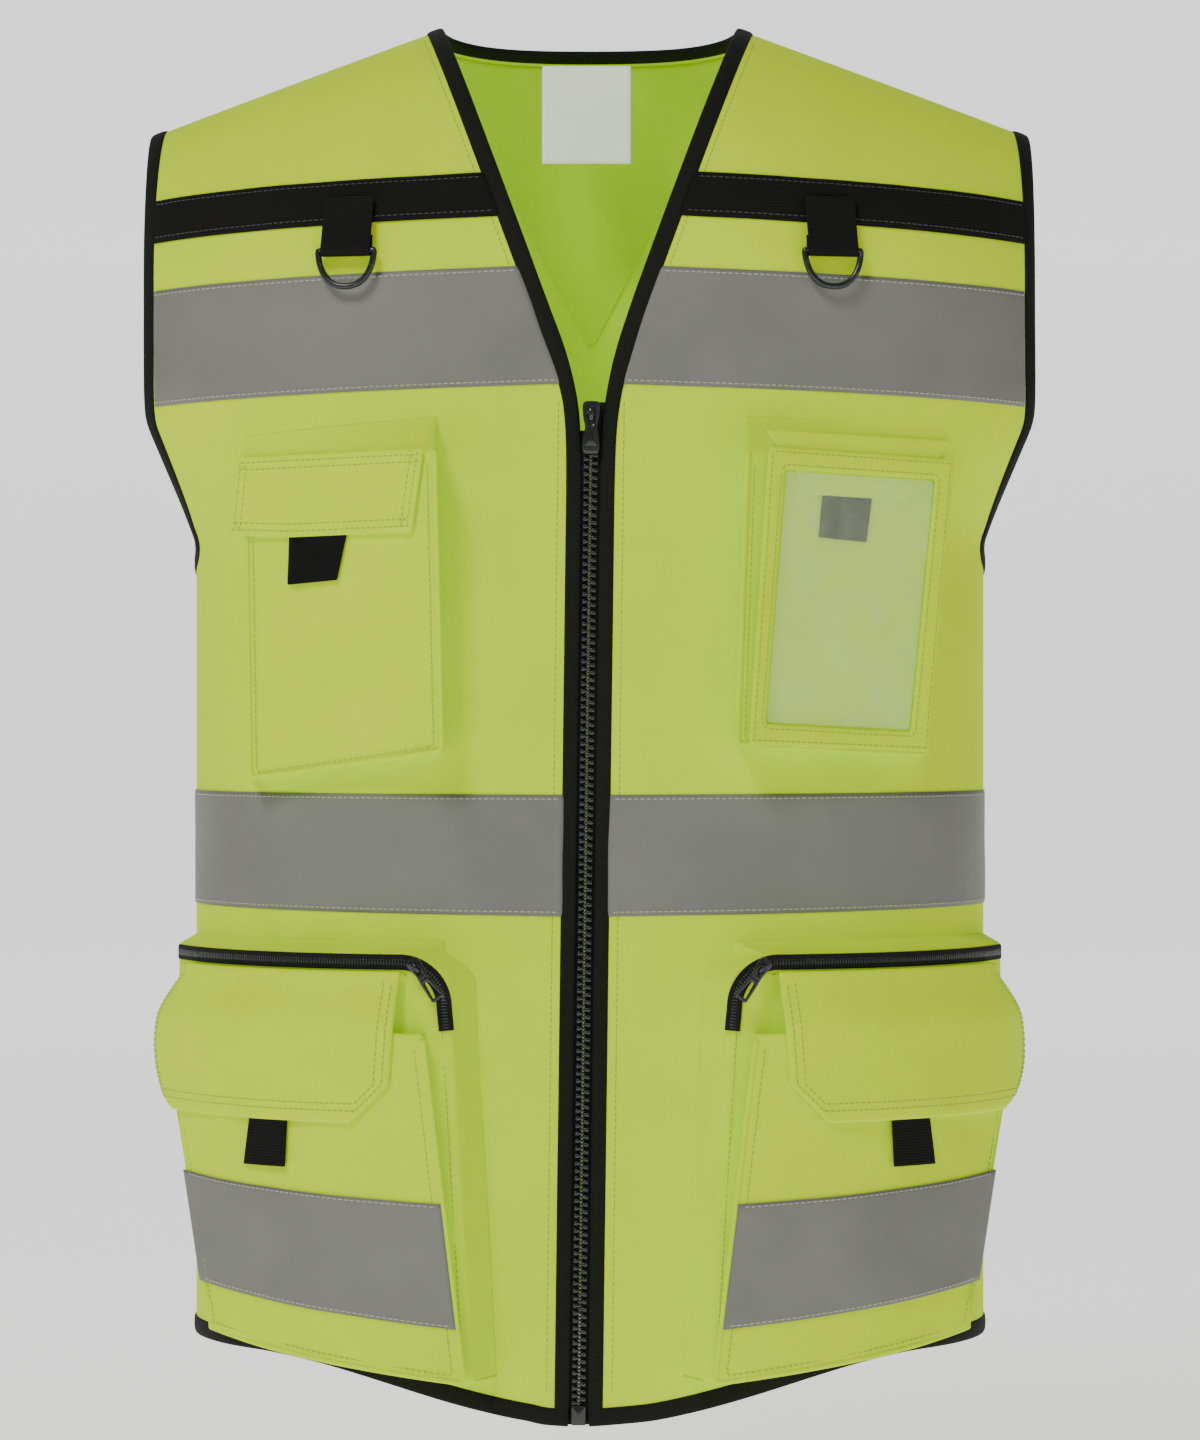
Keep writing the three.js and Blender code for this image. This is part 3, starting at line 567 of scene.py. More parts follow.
def armholePanelX(z, tuck=0.0):
    narrow = (torso["binding"] - tuck) * smooth((z - underarmPanel()) / 0.02)
    return np.minimum(halfWidth(z), armholeX(np.maximum(z, torso["underarm"])) - narrow)


def climb(t):
    return np.sin(t * math.pi / 2)


def rowHeight(v, bottom, low, top):
    # the lower share of the rows run evenly to the underarm, the rest close up towards the shoulder
    share = panelLook["share"]
    upper = mix(low, top, climb(np.clip((v - share) / (1 - share), 0, 1)))
    return np.where(v <= share, mix(bottom, low, v / share), upper)


def outerEdge(v, side, tuck):
    low = underarmPanel() + tuck
    bottom = hemZ(torso["waist"], side) + torso["binding"] - tuck
    tip = torso["armhole"] - torso["binding"] + tuck
    z = rowHeight(v, bottom, low, float(shoulderZ(tip)))
    x = np.where(v <= panelLook["share"], torso["waist"], armholePanelX(z, tuck))
    return x, z


def foldBlend(s):
    # the narrow strip at the crease between the shell and the folding edge, given as the shell, the edge and
    # the strip's fixed and moving ends; the piece is only baked in place, nothing bends it
    edge, half = torso["crease"], panelLook["fold"] / 2
    fixed, moving = (s * (edge + half), -0.12, -0.4), (s * (edge - half), -0.12, -0.4)
    return ("shell", sides[s] + "_edge", fixed, moving)


def frontCloth(s):
    # rows from hem to shoulder between the zip or neck edge and the side or armhole edge
    u, v = grid(110, 200)
    share, tuck = panelLook["share"], panelLook["tuck"]
    low = underarmPanel()
    top = float(shoulderZ(neckPanel - tuck))
    start = torso["zipBand"] - tuck
    bottom = hemZ(start, -1) + torso["binding"] - tuck
    z0 = rowHeight(v, bottom, low, top)
    x0 = np.maximum(start, neckEdgeX(z0) - tuck)
    x1, z1 = outerEdge(v, -1, tuck)
    across = np.sin(u * math.pi / 2)
    x = mix(x0, x1, across)
    bend = np.clip(1 - v / share, 0, 1) * (hemZ(x, -1) - mix(hemZ(x0, -1), hemZ(x1, -1), across))
    z = mix(z0, z1, across) + bend
    px = s * x + leanAt(x, z)
    inner = cover(px, z, -1, panelLook["inner"])
    outer = cover(px, z, -1, panelLook["outer"])
    uv = np.stack([px, z], -1)
    name = sides[s]
    piece = sheetPiece(name + "FrontCloth", inner, outer, uv)
    return finishCloth(piece, foldBlend(s), name + "_front_panel", name + "_front_edge")


def backNeckEdge(x, tuck=0.0):
    rise = np.clip(np.abs(x) / neckPanel, 0, 1) ** 4
    inner = mix(torso["backNeckPanel"] + tuck, float(shoulderZ(neckPanel)), rise)
    return np.where(np.abs(x) > neckPanel, shoulderZ(x), inner)


def backCloth():
    u, v = grid(190, 190)
    tuck = panelLook["tuck"]
    edgeX, _ = outerEdge(v, 1, tuck)
    w = 2 * u - 1
    k = 0.36
    inner = neckPanel * np.abs(w) / k
    outer = mix(neckPanel, edgeX, climb(np.clip((np.abs(w) - k) / (1 - k), 0, 1)))
    x = np.sign(w) * np.where(np.abs(w) <= k, inner, outer)
    bottom = hemZ(x, 1) + torso["binding"] - tuck
    low = underarmPanel() + tuck * climb(np.abs(w))
    topZ = backNeckEdge(x, 0.001)
    z = rowHeight(v, bottom, low, topZ)
    inside = cover(x, z, 1, panelLook["inner"])
    outside = cover(x, z, 1, panelLook["outer"])
    piece = sheetPiece("backCloth", inside, outside, np.stack([x, z], -1))
    return finishCloth(piece, "shell", "back_panel")


facingLook = {"point": -148 * mm, "spread": 0.52, "inner": -1.0 * mm, "outer": -0.1 * mm}


def neckFacing():
    u, v = grid(60, 70)
    half = 1.5 * mm + v * (torso["backNeckPanel"] - facingLook["point"]) * facingLook["spread"]
    x = (2 * u - 1) * half
    z = mix(facingLook["point"], backNeckEdge(x) - 0.5 * mm, v)
    inner, outer = (cover(x, z, 1, facingLook[layer]) for layer in ("inner", "outer"))
    piece = sheetPiece("neckFacing", inner, outer, np.stack([x, z], -1))
    # the facing takes the half-glowing inside copy: painted shade, as it lies in shade inside the back
    return finish(piece, "hi_vis_cloth", shadedClothInside, "shell", "back_neck_facing")


# bindings: a folded tape with rounded edges, swept along each raw edge

bindingShape = {"wide": 9 * mm, "narrow": 7.6 * mm, "thick": 3.3 * mm, "middle": 0.7 * mm, "count": 14}


def boundEdge(name, middle, across, normal, closed=False, width=bindingShape["wide"]):
    # width is one number, or one for each point of the line
    sizes = np.stack(np.broadcast_arrays(width, 1.0), -1).reshape(-1, 1, 2)
    profile = ovalProfile(bindingShape["count"], 1, bindingShape["thick"], 3.0) * sizes
    return sweepPiece(name, stationsAlong(middle, across, normal, profile), closed)


def edgeFrame(px, z, side, offset):
    middle = cover(px, z, side, offset)
    normal = normalAt(px, z, side)
    tangent = unit(np.gradient(middle, axis=0))
    across = unit(np.cross(tangent, normal))
    return middle, across, unit(np.cross(across, tangent))


def frontBinding(s):
    # up the zip edge, then along the V of the neck to the shoulder
    t = np.linspace(0, 1, 260)
    bottom, top = torso["frontHem"] + 2 * mm, torso["neckPoint"] - 2.2 * mm
    # the points lie evenly up the zip edge and close up towards the shoulder
    bend, height = 0.55, 0.62
    upper = height + (1 - height) * np.sin((t - bend) / (1 - bend) * math.pi / 2)
    z = mix(bottom, top, np.where(t < bend, t / bend * height, upper))
    half = torso["binding"] / 2
    straight = (torso["zipBand"] + 4.6 * mm) / 2
    slanted = neckEdgeX(z) - half
    k = 0.004
    x = straight + np.logaddexp(0, (slanted - straight) / k) * k
    middle, across, normal = edgeFrame(s * x + leanAt(x, z), z, -1, bindingShape["middle"])
    width = mix(bindingShape["narrow"], bindingShape["wide"], smooth((z - torso["zipTop"]) / 0.03))
    name = sides[s]
    piece = boundEdge(name + "FrontBinding", middle, across, normal, width=width)
    return finishBinding(piece, foldBlend(s), name + "_front_binding")


def backNeckBinding():
    reach = mix(torso["neck"], neckPanel, 0.5)
    x = reach * np.sin(np.linspace(-1, 1, 120) * math.pi / 2)
    rise = (np.abs(x) / reach) ** 4
    outer = mix(torso["backNeck"], torso["neckPoint"], rise)
    inner = mix(torso["backNeckPanel"], float(shoulderZ(neckPanel)), rise)
    z = (outer + inner) / 2
    middle, across, normal = edgeFrame(x, z, 1, bindingShape["middle"])
    piece = boundEdge("backNeckBinding", middle, across, normal)
    return finishBinding(piece, "shell", "neck_binding")


def armholeBindings(s):
    # one loop: up the front edge, over the shoulder tip, down the back edge
    t = np.linspace(0, 1, 110)
    low, high = torso["underarm"] - 3.5 * mm, float(shoulderZ(torso["armhole"] - 4.5 * mm))
    z = mix(low, high, 0.5 - 0.5 * np.cos(t * math.pi))
    x = armholePanelX(z - 2 * mm) + 4.5 * mm * smooth((z - low) / 0.02)
    x = np.minimum(x, halfWidth(z))
    x[0] = torso["waist"]
    front = cover(s * x, z, -1, bindingShape["middle"])
    back = cover(s * x, z, 1, bindingShape["middle"])[::-1]
    loop = np.concatenate([front, back[1:-1]])
    normal = np.concatenate([normalAt(s * x, z, -1), normalAt(s * x, z, 1)[::-1][1:-1]])
    for _ in range(3):
        loop, normal = relax(loop, 1, True), unit(relax(normal, 1, True))
    tangent = unit(np.roll(loop, -1, 0) - np.roll(loop, 1, 0))
    across = unit(np.cross(tangent, normal))
    normal = unit(np.cross(across, tangent))
    piece = boundEdge(sides[s] + "ArmholeBinding", loop, across, normal, closed=True)
    return finishBinding(piece, "shell", sides[s] + "_armhole_binding")


def frontHem(s):
    x = mix(5 * mm, torso["waist"], np.sin(np.linspace(0, 1, 120) * math.pi / 2))
    z = hemZ(x, -1) + torso["binding"] / 2
    middle, across, normal = edgeFrame(s * x + leanAt(x, z), z, -1, bindingShape["middle"])
    piece = boundEdge(sides[s] + "HemBinding", middle, across, normal)
    return finishBinding(piece, foldBlend(s))


def backHem():
    x = torso["waist"] * np.sin(np.linspace(-1, 1, 160) * math.pi / 2)
    z = hemZ(x, 1) + torso["binding"] / 2
    middle, across, normal = edgeFrame(x, z, 1, bindingShape["middle"])
    piece = boundEdge("backHemBinding", middle, across, normal)
    return finishBinding(piece, "shell", "hem_binding")


seamRidge = {"wide": 5 * mm, "thick": 1.5 * mm}
pipedRidge = {"wide": 2.6 * mm, "thick": 1.9 * mm}


def ridge(name, middle, normal, shape):
    # a thin raised line of cloth, along a seam or a piped edge
    across = unit(np.cross(unit(np.gradient(middle, axis=0)), normal))
    profile = ovalProfile(10, shape["wide"], shape["thick"], 2.4)
    return finishCloth(sweepPiece(name, stationsAlong(middle, across, normal, profile)), "shell")


def seams(s):
    t = np.linspace(0, 1, 60)
    x = mix(neckPanel - 2 * mm, torso["armhole"] - 4 * mm, t)
    middle = np.stack([s * x, 0 * x, shoulderZ(x) + 0.8 * mm], -1)
    slope = math.hypot(1, torso["slope"])
    normal = np.tile([s * torso["slope"] / slope, 0, 1 / slope], (60, 1))
    ridge(sides[s] + "ShoulderSeam", middle, normal, seamRidge)
    z = mix(torso["sideHem"] + 6 * mm, underarmPanel() + 2 * mm, t)
    middle = np.stack([0 * z + s * (torso["waist"] + 0.7 * mm), 0 * z, z], -1)
    ridge(sides[s] + "SideSeam", middle, np.tile([float(s), 0, 0], (60, 1)), seamRidge)


backCloth()
neckFacing()
backNeckBinding()
backHem()
for s in sides:
    frontCloth(s)
    frontBinding(s)
    armholeBindings(s)
    frontHem(s)
    seams(s)
print("cloth and bindings made")


# tapes and webbing across the cloth

bandLook = {"tape": (1.45 * mm, 2.0 * mm), "webbing": (1.7 * mm, 3.0 * mm),
            "chestLow": (-186 * mm, -193 * mm), "chestHigh": (-128 * mm, -135 * mm),
            "waistLow": (-449 * mm, -446 * mm), "waistHigh": (-389 * mm, -388 * mm),
            "webLow": (-103 * mm, -111 * mm), "webHigh": (-81 * mm, -89 * mm)}


def bandPoint(s, low, high, innerX, outerX, across, up):
    # a point of a front band by its share across and up, and the small wave of the band there
    z = mix(mix(low[0], low[1], across), mix(high[0], high[1], across), up)
    x = mix(innerX(z), outerX(z), across)
    px = s * x + leanAt(x, z)
    return px, z, ripple(px, z, 7.7 + s, 0.035) * 0.22 * mm


def frontBand(name, s, low, high, layer, slotName, material, innerX, outerX, *nodes):
    u, v = grid(110, 26)
    px, z, wave = bandPoint(s, low, high, innerX, outerX, np.sin(u * math.pi / 2), v)
    edge = (4 * v * (1 - v)) ** 0.25
    inner = cover(px, z, -1, layer[0] + wave)
    outer = cover(px, z, -1, mix(layer[0] + 0.25 * mm, layer[1], edge) + wave)
    piece = sheetPiece(name, inner, outer, np.stack([px, z], -1))
    return finish(piece, slotName, material, foldBlend(s), *nodes)


def backBand(name, low, high, outerX, *nodes):
    u, v = grid(170, 26)
    z = mix(low, high, v)
    x = outerX(z) * np.sin((u - 0.5) * math.pi)
    edge = (4 * v * (1 - v)) ** 0.25
    layer = bandLook["tape"]
    outer = cover(x, z, 1, mix(layer[0] + 0.25 * mm, layer[1], edge))
    piece = sheetPiece(name, cover(x, z, 1, layer[0]), outer, np.stack([x, z], -1))
    return finish(piece, "reflective_tape", reflective, "shell", *nodes)


def insideArmhole(z):
    return armholeX(z) - torso["binding"] + 1 * mm


def insideNeck(z):
    return np.maximum(torso["zipBand"] - 1 * mm, neckEdgeX(z) - 1 * mm)


def waistX(z):
    return torso["waist"] + 0 * z


def bands(s):
    name = sides[s]
    look = bandLook
    frontBand(name + "ChestTape", s, look["chestLow"], look["chestHigh"], look["tape"], "reflective_tape",
              reflective, insideNeck, insideArmhole, name + "_chest_tape")
    frontBand(name + "WaistTape", s, look["waistLow"], look["waistHigh"], look["tape"], "reflective_tape",
              reflective, insideNeck, waistX, name + "_waist_tape")
    frontBand(name + "ChestWebbing", s, look["webLow"], look["webHigh"], look["webbing"], "black_webbing",
              webbing, insideNeck, insideArmhole, name + "_chest_webbing")


for s in sides:
    bands(s)
for part, outerX in (("chest", insideArmhole), ("waist", waistX)):
    low, high = bandLook[part + "Low"][1], bandLook[part + "High"][1]
    backBand("back" + part.title() + "Tape", low, high, outerX, "back_" + part + "_tape")
print("tapes and webbing made")


# small moulded and metal pieces

def placer(origin, normal, up):
    # local x to the right, y into the cloth, z up
    normal, up = unit(np.array(normal, float)), np.array(up, float)
    up = unit(up - normal * (up @ normal))
    side = np.cross(-normal, up)
    axes = np.stack([side, -normal, up])

    def place(x, y, z):
        return np.array(origin, float) + np.stack(np.broadcast_arrays(x, y, z), -1) @ axes
    return place


def outlinePoints(corners, radius, edge=5, bend=5):
    # the polygon with each corner replaced by a short curve and each side cut in equal steps
    c = np.array(corners, float) * mm
    before, after = np.roll(c, 1, 0), np.roll(c, -1, 0)
    room = np.minimum(np.linalg.norm(before - c, axis=1), np.linalg.norm(after - c, axis=1)) * 0.45
    r = np.minimum(radius * mm, room)[:, None]
    enter, leave = c + unit(before - c) * r, c + unit(after - c) * r
    t = np.linspace(0, 1, bend)[None, :, None]
    curve = (1 - t) ** 2 * enter[:, None] + 2 * t * (1 - t) * c[:, None] + t ** 2 * leave[:, None]
    k = np.linspace(0, 1, edge + 2)[1:-1][None, :, None]
    side = leave[:, None] * (1 - k) + np.roll(enter, -1, 0)[:, None] * k
    return np.concatenate([curve, side], 1).reshape(-1, 2)


def outward(points):
    tangent = np.roll(points, -1, 0) - np.roll(points, 1, 0)
    normal = unit(np.stack([tangent[:, 1], -tangent[:, 0]], -1))
    area = (points[:, 0] * np.roll(points[:, 1], -1) - np.roll(points[:, 0], -1) * points[:, 1]).sum()
    return normal * (1 if area > 0 else -1)


def slab(name, corners, radius, near, far, place, bevel=0.5):
    # an outline between two depths with softened edges
    flat = outlinePoints(corners, radius)
    out = outward(flat)
    b = bevel * mm
    near, far = near * mm, far * mm
    sign = 1 if far > near else -1
    levels = [(b, near), (b * 0.3, near + sign * b * 0.3), (0, near + sign * b),
              (0, far - sign * b), (b * 0.3, far - sign * b * 0.3), (b, far)]
    rings = [(flat - out * inset, depth) for inset, depth in levels]
    return sweepPiece(name, np.stack([place(ring[:, 0], depth, ring[:, 1]) for ring, depth in rings]))


def ringSlab(name, outer, inner, radii, near, far, place):
    # the band between two outlines with as many corners, closed on itself
    a, b = outlinePoints(outer, radii[0]), outlinePoints(inner, radii[1])
    profile = ovalProfile(12, 1.0, 1.0, 5.0) + 0.5
    point = b[:, None] + (a - b)[:, None] * profile[None, :, :1]
    depth = mix(near * mm, far * mm, profile[None, :, 1])
    return sweepPiece(name, place(point[..., 0], depth, point[..., 1]), closedPath=True)


def copies(name, stations):
    # many alike rods at once: copy by path by profile by 3, each closed by its end faces
    count, n, m = stations.shape[:3]
    side = quads(n, m, 0, wrapU=True)
    first = stations[0].reshape(-1, 3)
    centre = first.mean(0)
    p = first[side]
    turned = (np.cross(p[:, 1] - p[:, 0], p[:, 2] - p[:, 0]) * (p.mean(1) - centre)).sum() < 0
    unitFaces = side.tolist() + [list(range(m))[::-1], list(range((n - 1) * m, n * m))]
    if turned:
        unitFaces = [f[::-1] for f in unitFaces]
    faces = [[i + k * n * m for i in f] for k in range(count) for f in unitFaces]
    return meshObject(name, stations, faces)


zipLook = {"pitch": 3.7 * mm, "spine": 3.6 * mm, "tip": 1.2 * mm, "front": -120.4 * mm}
zipUp = (0.01282, 0, 0.99992)


def teeth(s):
    pitch = zipLook["pitch"]
    z = np.arange(-210.2 * mm, -689 * mm, -pitch) - (pitch / 2 if s < 0 else 0)
    t = np.linspace(0, 1, 7)
    x = mix(zipLook["spine"], -zipLook["tip"], t)
    tall = ramp(t, [0, 0.35, 0.6, 0.72, 0.9, 1], [2.5, 2.4, 1.5, 1.45, 1.95, 1.3]) * mm
    deep = ramp(t, [0, 0.35, 0.6, 0.9, 1], [2.3, 2.9, 2.5, 2.7, 1.9]) * mm
    profile = ovalProfile(10, 1.0, 1.0, 4.0)
    zz = z[:, None, None] + tall[None, :, None] * profile[None, None, :, 0]
    yy = zipLook["front"] + deep[None, :, None] * profile[None, None, :, 1] + 0 * zz
    xx = s * x[None, :, None] + zipX(z)[:, None, None] + 0 * zz
    piece = copies(sides[s] + "ZipTeeth", np.stack([xx, yy, zz], -1))
    finishPlastic(piece, sides[s] + "_edge", sides[s] + "_zip_teeth")


def zipTapes(s):
    # woven tape from the teeth to under the binding, with a raised cord at its edge
    u, v = grid(12, 130)
    z = mix(torso["frontHem"] + 1 * mm, -209 * mm if s < 0 else torso["zipTop"] - 1 * mm, v)
    x = mix(0.35 * mm, 12 * mm, u)
    cord = 0.5 * mm * np.exp(-((x - 3.6 * mm) / (0.7 * mm)) ** 2)
    front = zipLook["front"] + 0.35 * mm - cord
    wx = s * x + zipX(z)
    outer = np.stack([wx, front + 0 * wx, z], -1)
    inner = np.stack([wx, zipLook["front"] + 1.2 * mm + 0 * wx, z], -1)
    piece = sheetPiece(sides[s] + "ZipTape", inner, outer, np.stack([x, z], -1))
    finish(piece, "black_zip_tape", zipTape, sides[s] + "_edge", sides[s] + "_zip_tape")


def slider(name, place, body, node, scale=1.0, back=True):
    k = scale
    half = [(3.4, 6.4), (4.5, 4.2), (3.9, -2.0), (2.7, -7.2)]
    whole = [(-3.4, 6.4)] + half + [(-a, b) for a, b in half[:0:-1]]
    shield = [(a * k, b * k) for a, b in whole]
    piece = slab(name + "Front", shield, 1.6 * k, -3.4 * k, -1.6 * k, place, 0.55 * k)
    finishPlastic(piece, body, node)
    if back:
        piece = slab(name + "Back", shield, 1.6 * k, 1.6 * k, 3.2 * k, place, 0.5 * k)
        finishPlastic(piece, body)
    t = np.linspace(0, 1, 26)
    a = math.pi * t
    z = np.cos(a) * 3.5 * k * mm
    y = -(2.9 + 3.9 * np.sin(a) ** 0.6) * k * mm
    path = np.stack([y, z], -1)
    along = unit(np.gradient(path, axis=0))
    profile = ovalProfile(12, 2.3 * k * mm, 1.25 * k * mm, 4.0)
    yy = y[:, None] + along[:, None, 1] * profile[None, :, 1]
    zz = z[:, None] - along[:, None, 0] * profile[None, :, 1]
    finishPlastic(sweepPiece(name + "Bail", place(profile[None, :, 0] + 0 * yy, yy, zz)), body)


def mainZip():
    place = placer((zipX(-0.201), zipLook["front"], -0.201), (0, -1, 0), zipUp)
    slider("mainSlider", place, "main_slider", "main_zip_slider")
    outer = [(-2.4, 1.1), (2.4, 1.1), (2.8, -5), (4.3, -16), (3.6, -20), (-3.6, -20), (-4.3, -16), (-2.8, -5)]
    window = [(-1.5, -0.7), (1.5, -0.7), (1.5, -2), (1.5, -4.4),
              (0.8, -5), (-0.8, -5), (-1.5, -4.4), (-1.5, -2)]
    piece = ringSlab("mainPull", outer, window, (1.2, 0.5), -5.6, -3.9, place)
    finishPlastic(piece, "main_pull", "main_zip_pull")
    grip = [(-2.6, -8), (2.6, -8), (3.2, -16), (-3.2, -16)]
    finishPlastic(slab("mainPullGrip", grip, 1.0, -6.0, -5.4, place, 0.25), "main_pull")
    box = placer((zipX(-0.695), zipLook["front"], -0.695), (0, -1, 0), zipUp)
    shape = [(-3.6, 4.6), (3.6, 4.6), (3.6, -5.2), (-3.6, -5.2)]
    finishPlastic(slab("zipBox", shape, 0.9, -2.3, 2.3, box, 0.5), "left_edge", "zip_retainer_box")


ringLook = {"x": 119 * mm, "z": -120.5 * mm, "offset": 5.9 * mm,
            "half": 14.3 * mm, "drop": 18 * mm, "wire": 1.6 * mm}


def ringPath(count=96):
    # straight bar on top, a half round below, softened where they meet
    a = np.linspace(0, 2 * math.pi, count, endpoint=False)
    half, drop = ringLook["half"], ringLook["drop"]
    c, s = np.cos(a), np.sin(a)
    x = half * np.sign(c) * np.abs(c) ** np.where(s > 0, 0.32, 0.86)
    z = np.where(s > 0, 0.0, drop * s)
    points = np.stack([x, z], -1)
    points = relax(points, 5, True)
    loop = np.concatenate([points, points[:1]])
    run = runLength(loop)
    return sample(np.linspace(0, run[-1], 90, endpoint=False), run, loop)


# the ring tab's loop from its top end, as distance out from the ring's plane and height, in millimetres
tabLoop = np.array([(-2.9, 27.5), (-2.6, 26.5), (-2.1, 23), (-1.2, 16), (0.0, 10), (1.2, 5), (2.25, 1.5),
                    (2.35, -0.6), (1.5, -2.2), (0, -2.55), (-1.5, -2.1), (-2.3, -0.4), (-2.55, 3), (-2.6, 8)])


def ringSet(s):
    name = sides[s]
    look = ringLook
    at = skin(s * look["x"], look["z"], -1, look["offset"])
    normal = normalAt(s * look["x"], look["z"], -1)
    place = placer(at, normal, (0, 0, 1))
    path = ringPath()
    out = outward(path)
    a = np.linspace(0, 2 * math.pi, 14, endpoint=False)
    ring = path[:, None] + out[:, None] * (np.cos(a) * look["wire"])[None, :, None]
    stations = place(ring[..., 0], np.sin(a) * look["wire"], ring[..., 1])
    piece = sweepPiece(name + "Ring", stations, closedPath=True)
    finish(piece, "ring_metal", metal, name + "_ring", name + "_d_ring")
    # the webbing loop: down over the bar, round it and back up behind
    t = np.linspace(0, len(tabLoop) - 1, 70)
    path = relax(sample(t, np.arange(len(tabLoop)), tabLoop) * mm, 4)
    along = unit(np.gradient(path, axis=0))
    profile = ovalProfile(16, 25.4 * mm, 1.1 * mm, 8.0)
    deep = -(path[:, None, 0] + along[:, None, 1] * profile[None, :, 1])
    high = path[:, None, 1] - along[:, None, 0] * profile[None, :, 1]
    stations = place(profile[None, :, 0] + 0 * deep, deep, high)
    finish(sweepPiece(name + "RingTab", stations), "black_webbing", webbing, "shell", name + "_ring_tab")


labelLook = {"left": -25.5 * mm, "right": 21.5 * mm, "bottom": -56.2 * mm, "top": -4.2 * mm,
             "y": 55.6 * mm, "thick": 0.7 * mm}


def neckLabel():
    look = labelLook
    u, v = grid(24, 28)
    x = mix(look["left"], look["right"], u)
    z = mix(look["bottom"], look["top"], v)
    curl = (1 - v) ** 2 * 1.2 * mm * np.sin(u * math.pi) + (u - 0.5) ** 2 * 2.0 * mm
    y = look["y"] - curl
    outer = np.stack([x, y - look["thick"], z], -1)
    inner = np.stack([x, y, z], -1)
    piece = sheetPiece("neckLabel", inner, outer, np.stack([x, z], -1))
    finish(piece, "label_cloth", labelCloth, "label", "neck_label")


for s in sides:
    zipTapes(s)
    teeth(s)
    ringSet(s)
mainZip()
neckLabel()
print("zip, rings and label made")


# sewn pockets

def thicken(name, outer, thick, uv, away):
    # a cloth wall: the outer grid and the same grid moved back along its own normals
    du, dv = np.gradient(outer, axis=1), np.gradient(outer, axis=0)
    normal = unit(np.cross(du, dv))
    if (normal.mean((0, 1)) @ np.array(away, float)) < 0:
        normal = -normal
    return sheetPiece(name, outer - normal * thick, outer, uv)


def padSlab(name, corners, radius, near, far, place, lift, rings=12):
    # rings grow from the middle to the outline on the back, and shrink again on the front
    flat = outlinePoints(corners, radius, 9, 6)
    centre = flat.mean(0)
    grow = np.concatenate([[0.01], np.linspace(0.1, 0.97, rings), [0.993]])
    f = np.concatenate([grow, [1.0], grow[::-1]])
    half = len(f) // 2
    edge = np.concatenate([np.zeros(half - 1), [0.16, 0.5, 0.84], np.ones(half - 1)])
    xy = centre + (flat - centre)[None] * f[:, None, None]
    depth = -mix(near * mm, far * mm, edge)[:, None] - lift(xy[..., 0], xy[..., 1])
    return sweepPiece(name, place(xy[..., 0], depth, xy[..., 1]))


chestLook = {"turn": math.radians(26), "x": 126 * mm, "y": -119 * mm, "thick": 1.1 * mm, "swell": 1.6 * mm,
             "right": {"top": ((-51, -222), (56, -220)), "bottom": ((-48, -381), (60, -367)),
                       "header": (-210, -202),
                       "flap": [(-55, -221), (51, -219), (45, -260), (-22, -261.5), (-59, -260)],
                       "tab": [(-24, -257), (9, -257), (3, -283), (-25, -285)]},
             "left": {"top": ((-54, -220), (57, -222)), "bottom": ((-60, -364), (47, -369)),
                      "header": (-202, -205),
                      "flap": [(-45, -209.5), (61, -212.5), (44, -233), (34, -243), (-23, -241), (-28, -230),
                               (-38, -218)],
                      "tab": [(-12.5, -238.4), (15.5, -239.3), (12, -264), (-15, -262)]}}
holderLook = {"frame": [(-44, -218), (61, -222), (46, -368), (-55, -364)],
              "window": [(-34, -230), (49, -233), (35, -357), (-45, -353)],
              "hole": [(-35, -229), (50, -232), (36, -358), (-46, -354)]}


def pocketPlacer(s):
    turn = s * chestLook["turn"]
    return placer((s * chestLook["x"], chestLook["y"], 0), (math.sin(turn), -math.cos(turn), 0), (0, 0, 1))


def chestPocket(s):
    look = chestLook[sides[s]]
    place = pocketPlacer(s)
    a, b = grid(96, 130)
    u = ramp(a, [0, 0.07, 0.93, 1], [0, 0, 1, 1])
    wSide = ramp(a, [0, 0.06, 0.09, 0.91, 0.94, 1], [0, 0.9, 1, 1, 0.9, 0])
    v = ramp(b, [0, 0.06, 0.88, 1], [0, 0, 1, 2])
    wEnd = ramp(b, [0, 0.05, 0.075, 1], [0, 0.9, 1, 1])
    w = np.minimum(wSide, wEnd)
    (tl, tr), (bl, br) = look["top"], look["bottom"]
    vv = np.minimum(v, 1)
    across = mix(mix(bl[0], br[0], u), mix(tl[0], tr[0], u), vv) * mm
    z = mix(mix(bl[1], br[1], u), mix(tl[1], tr[1], u), vv) * mm
    # the left pocket lies nearly flat behind the holder
    full = chestLook["swell"] * (1.0 if s < 0 else 0.12)
    fade = smooth(wSide * 4 * u * (1 - u)) * smooth(4 * vv * (1 - vv) + 0.1)
    swell = full * (ripple(across, z, 2.2 + s, 0.06) * 0.6 + 0.5) * fade
    front = place(across, -swell, z)
    torsoPoint = skin(front[..., 0], z, -1, 1.3 * mm)
    body = mix(torsoPoint, front, w[..., None])
    topZ = mix(look["header"][0], look["header"][1], u) * mm
    high = skin(front[..., 0], topZ, -1, 1.5 * mm)
    rise = np.clip(v - 1, 0, 1)[..., None]
    outer = np.where(v[..., None] > 1, mix(body, high, rise ** 0.9), body)
    uv = np.stack([across, z], -1)
    piece = thicken(sides[s] + "ChestPocket", outer, chestLook["thick"], uv, (0, -1, 0))
    name = sides[s]
    finishCloth(piece, "shell", name + "_chest_pocket", name + "_chest_pocket_header")


def noLift(x, z):
    return 0 * x


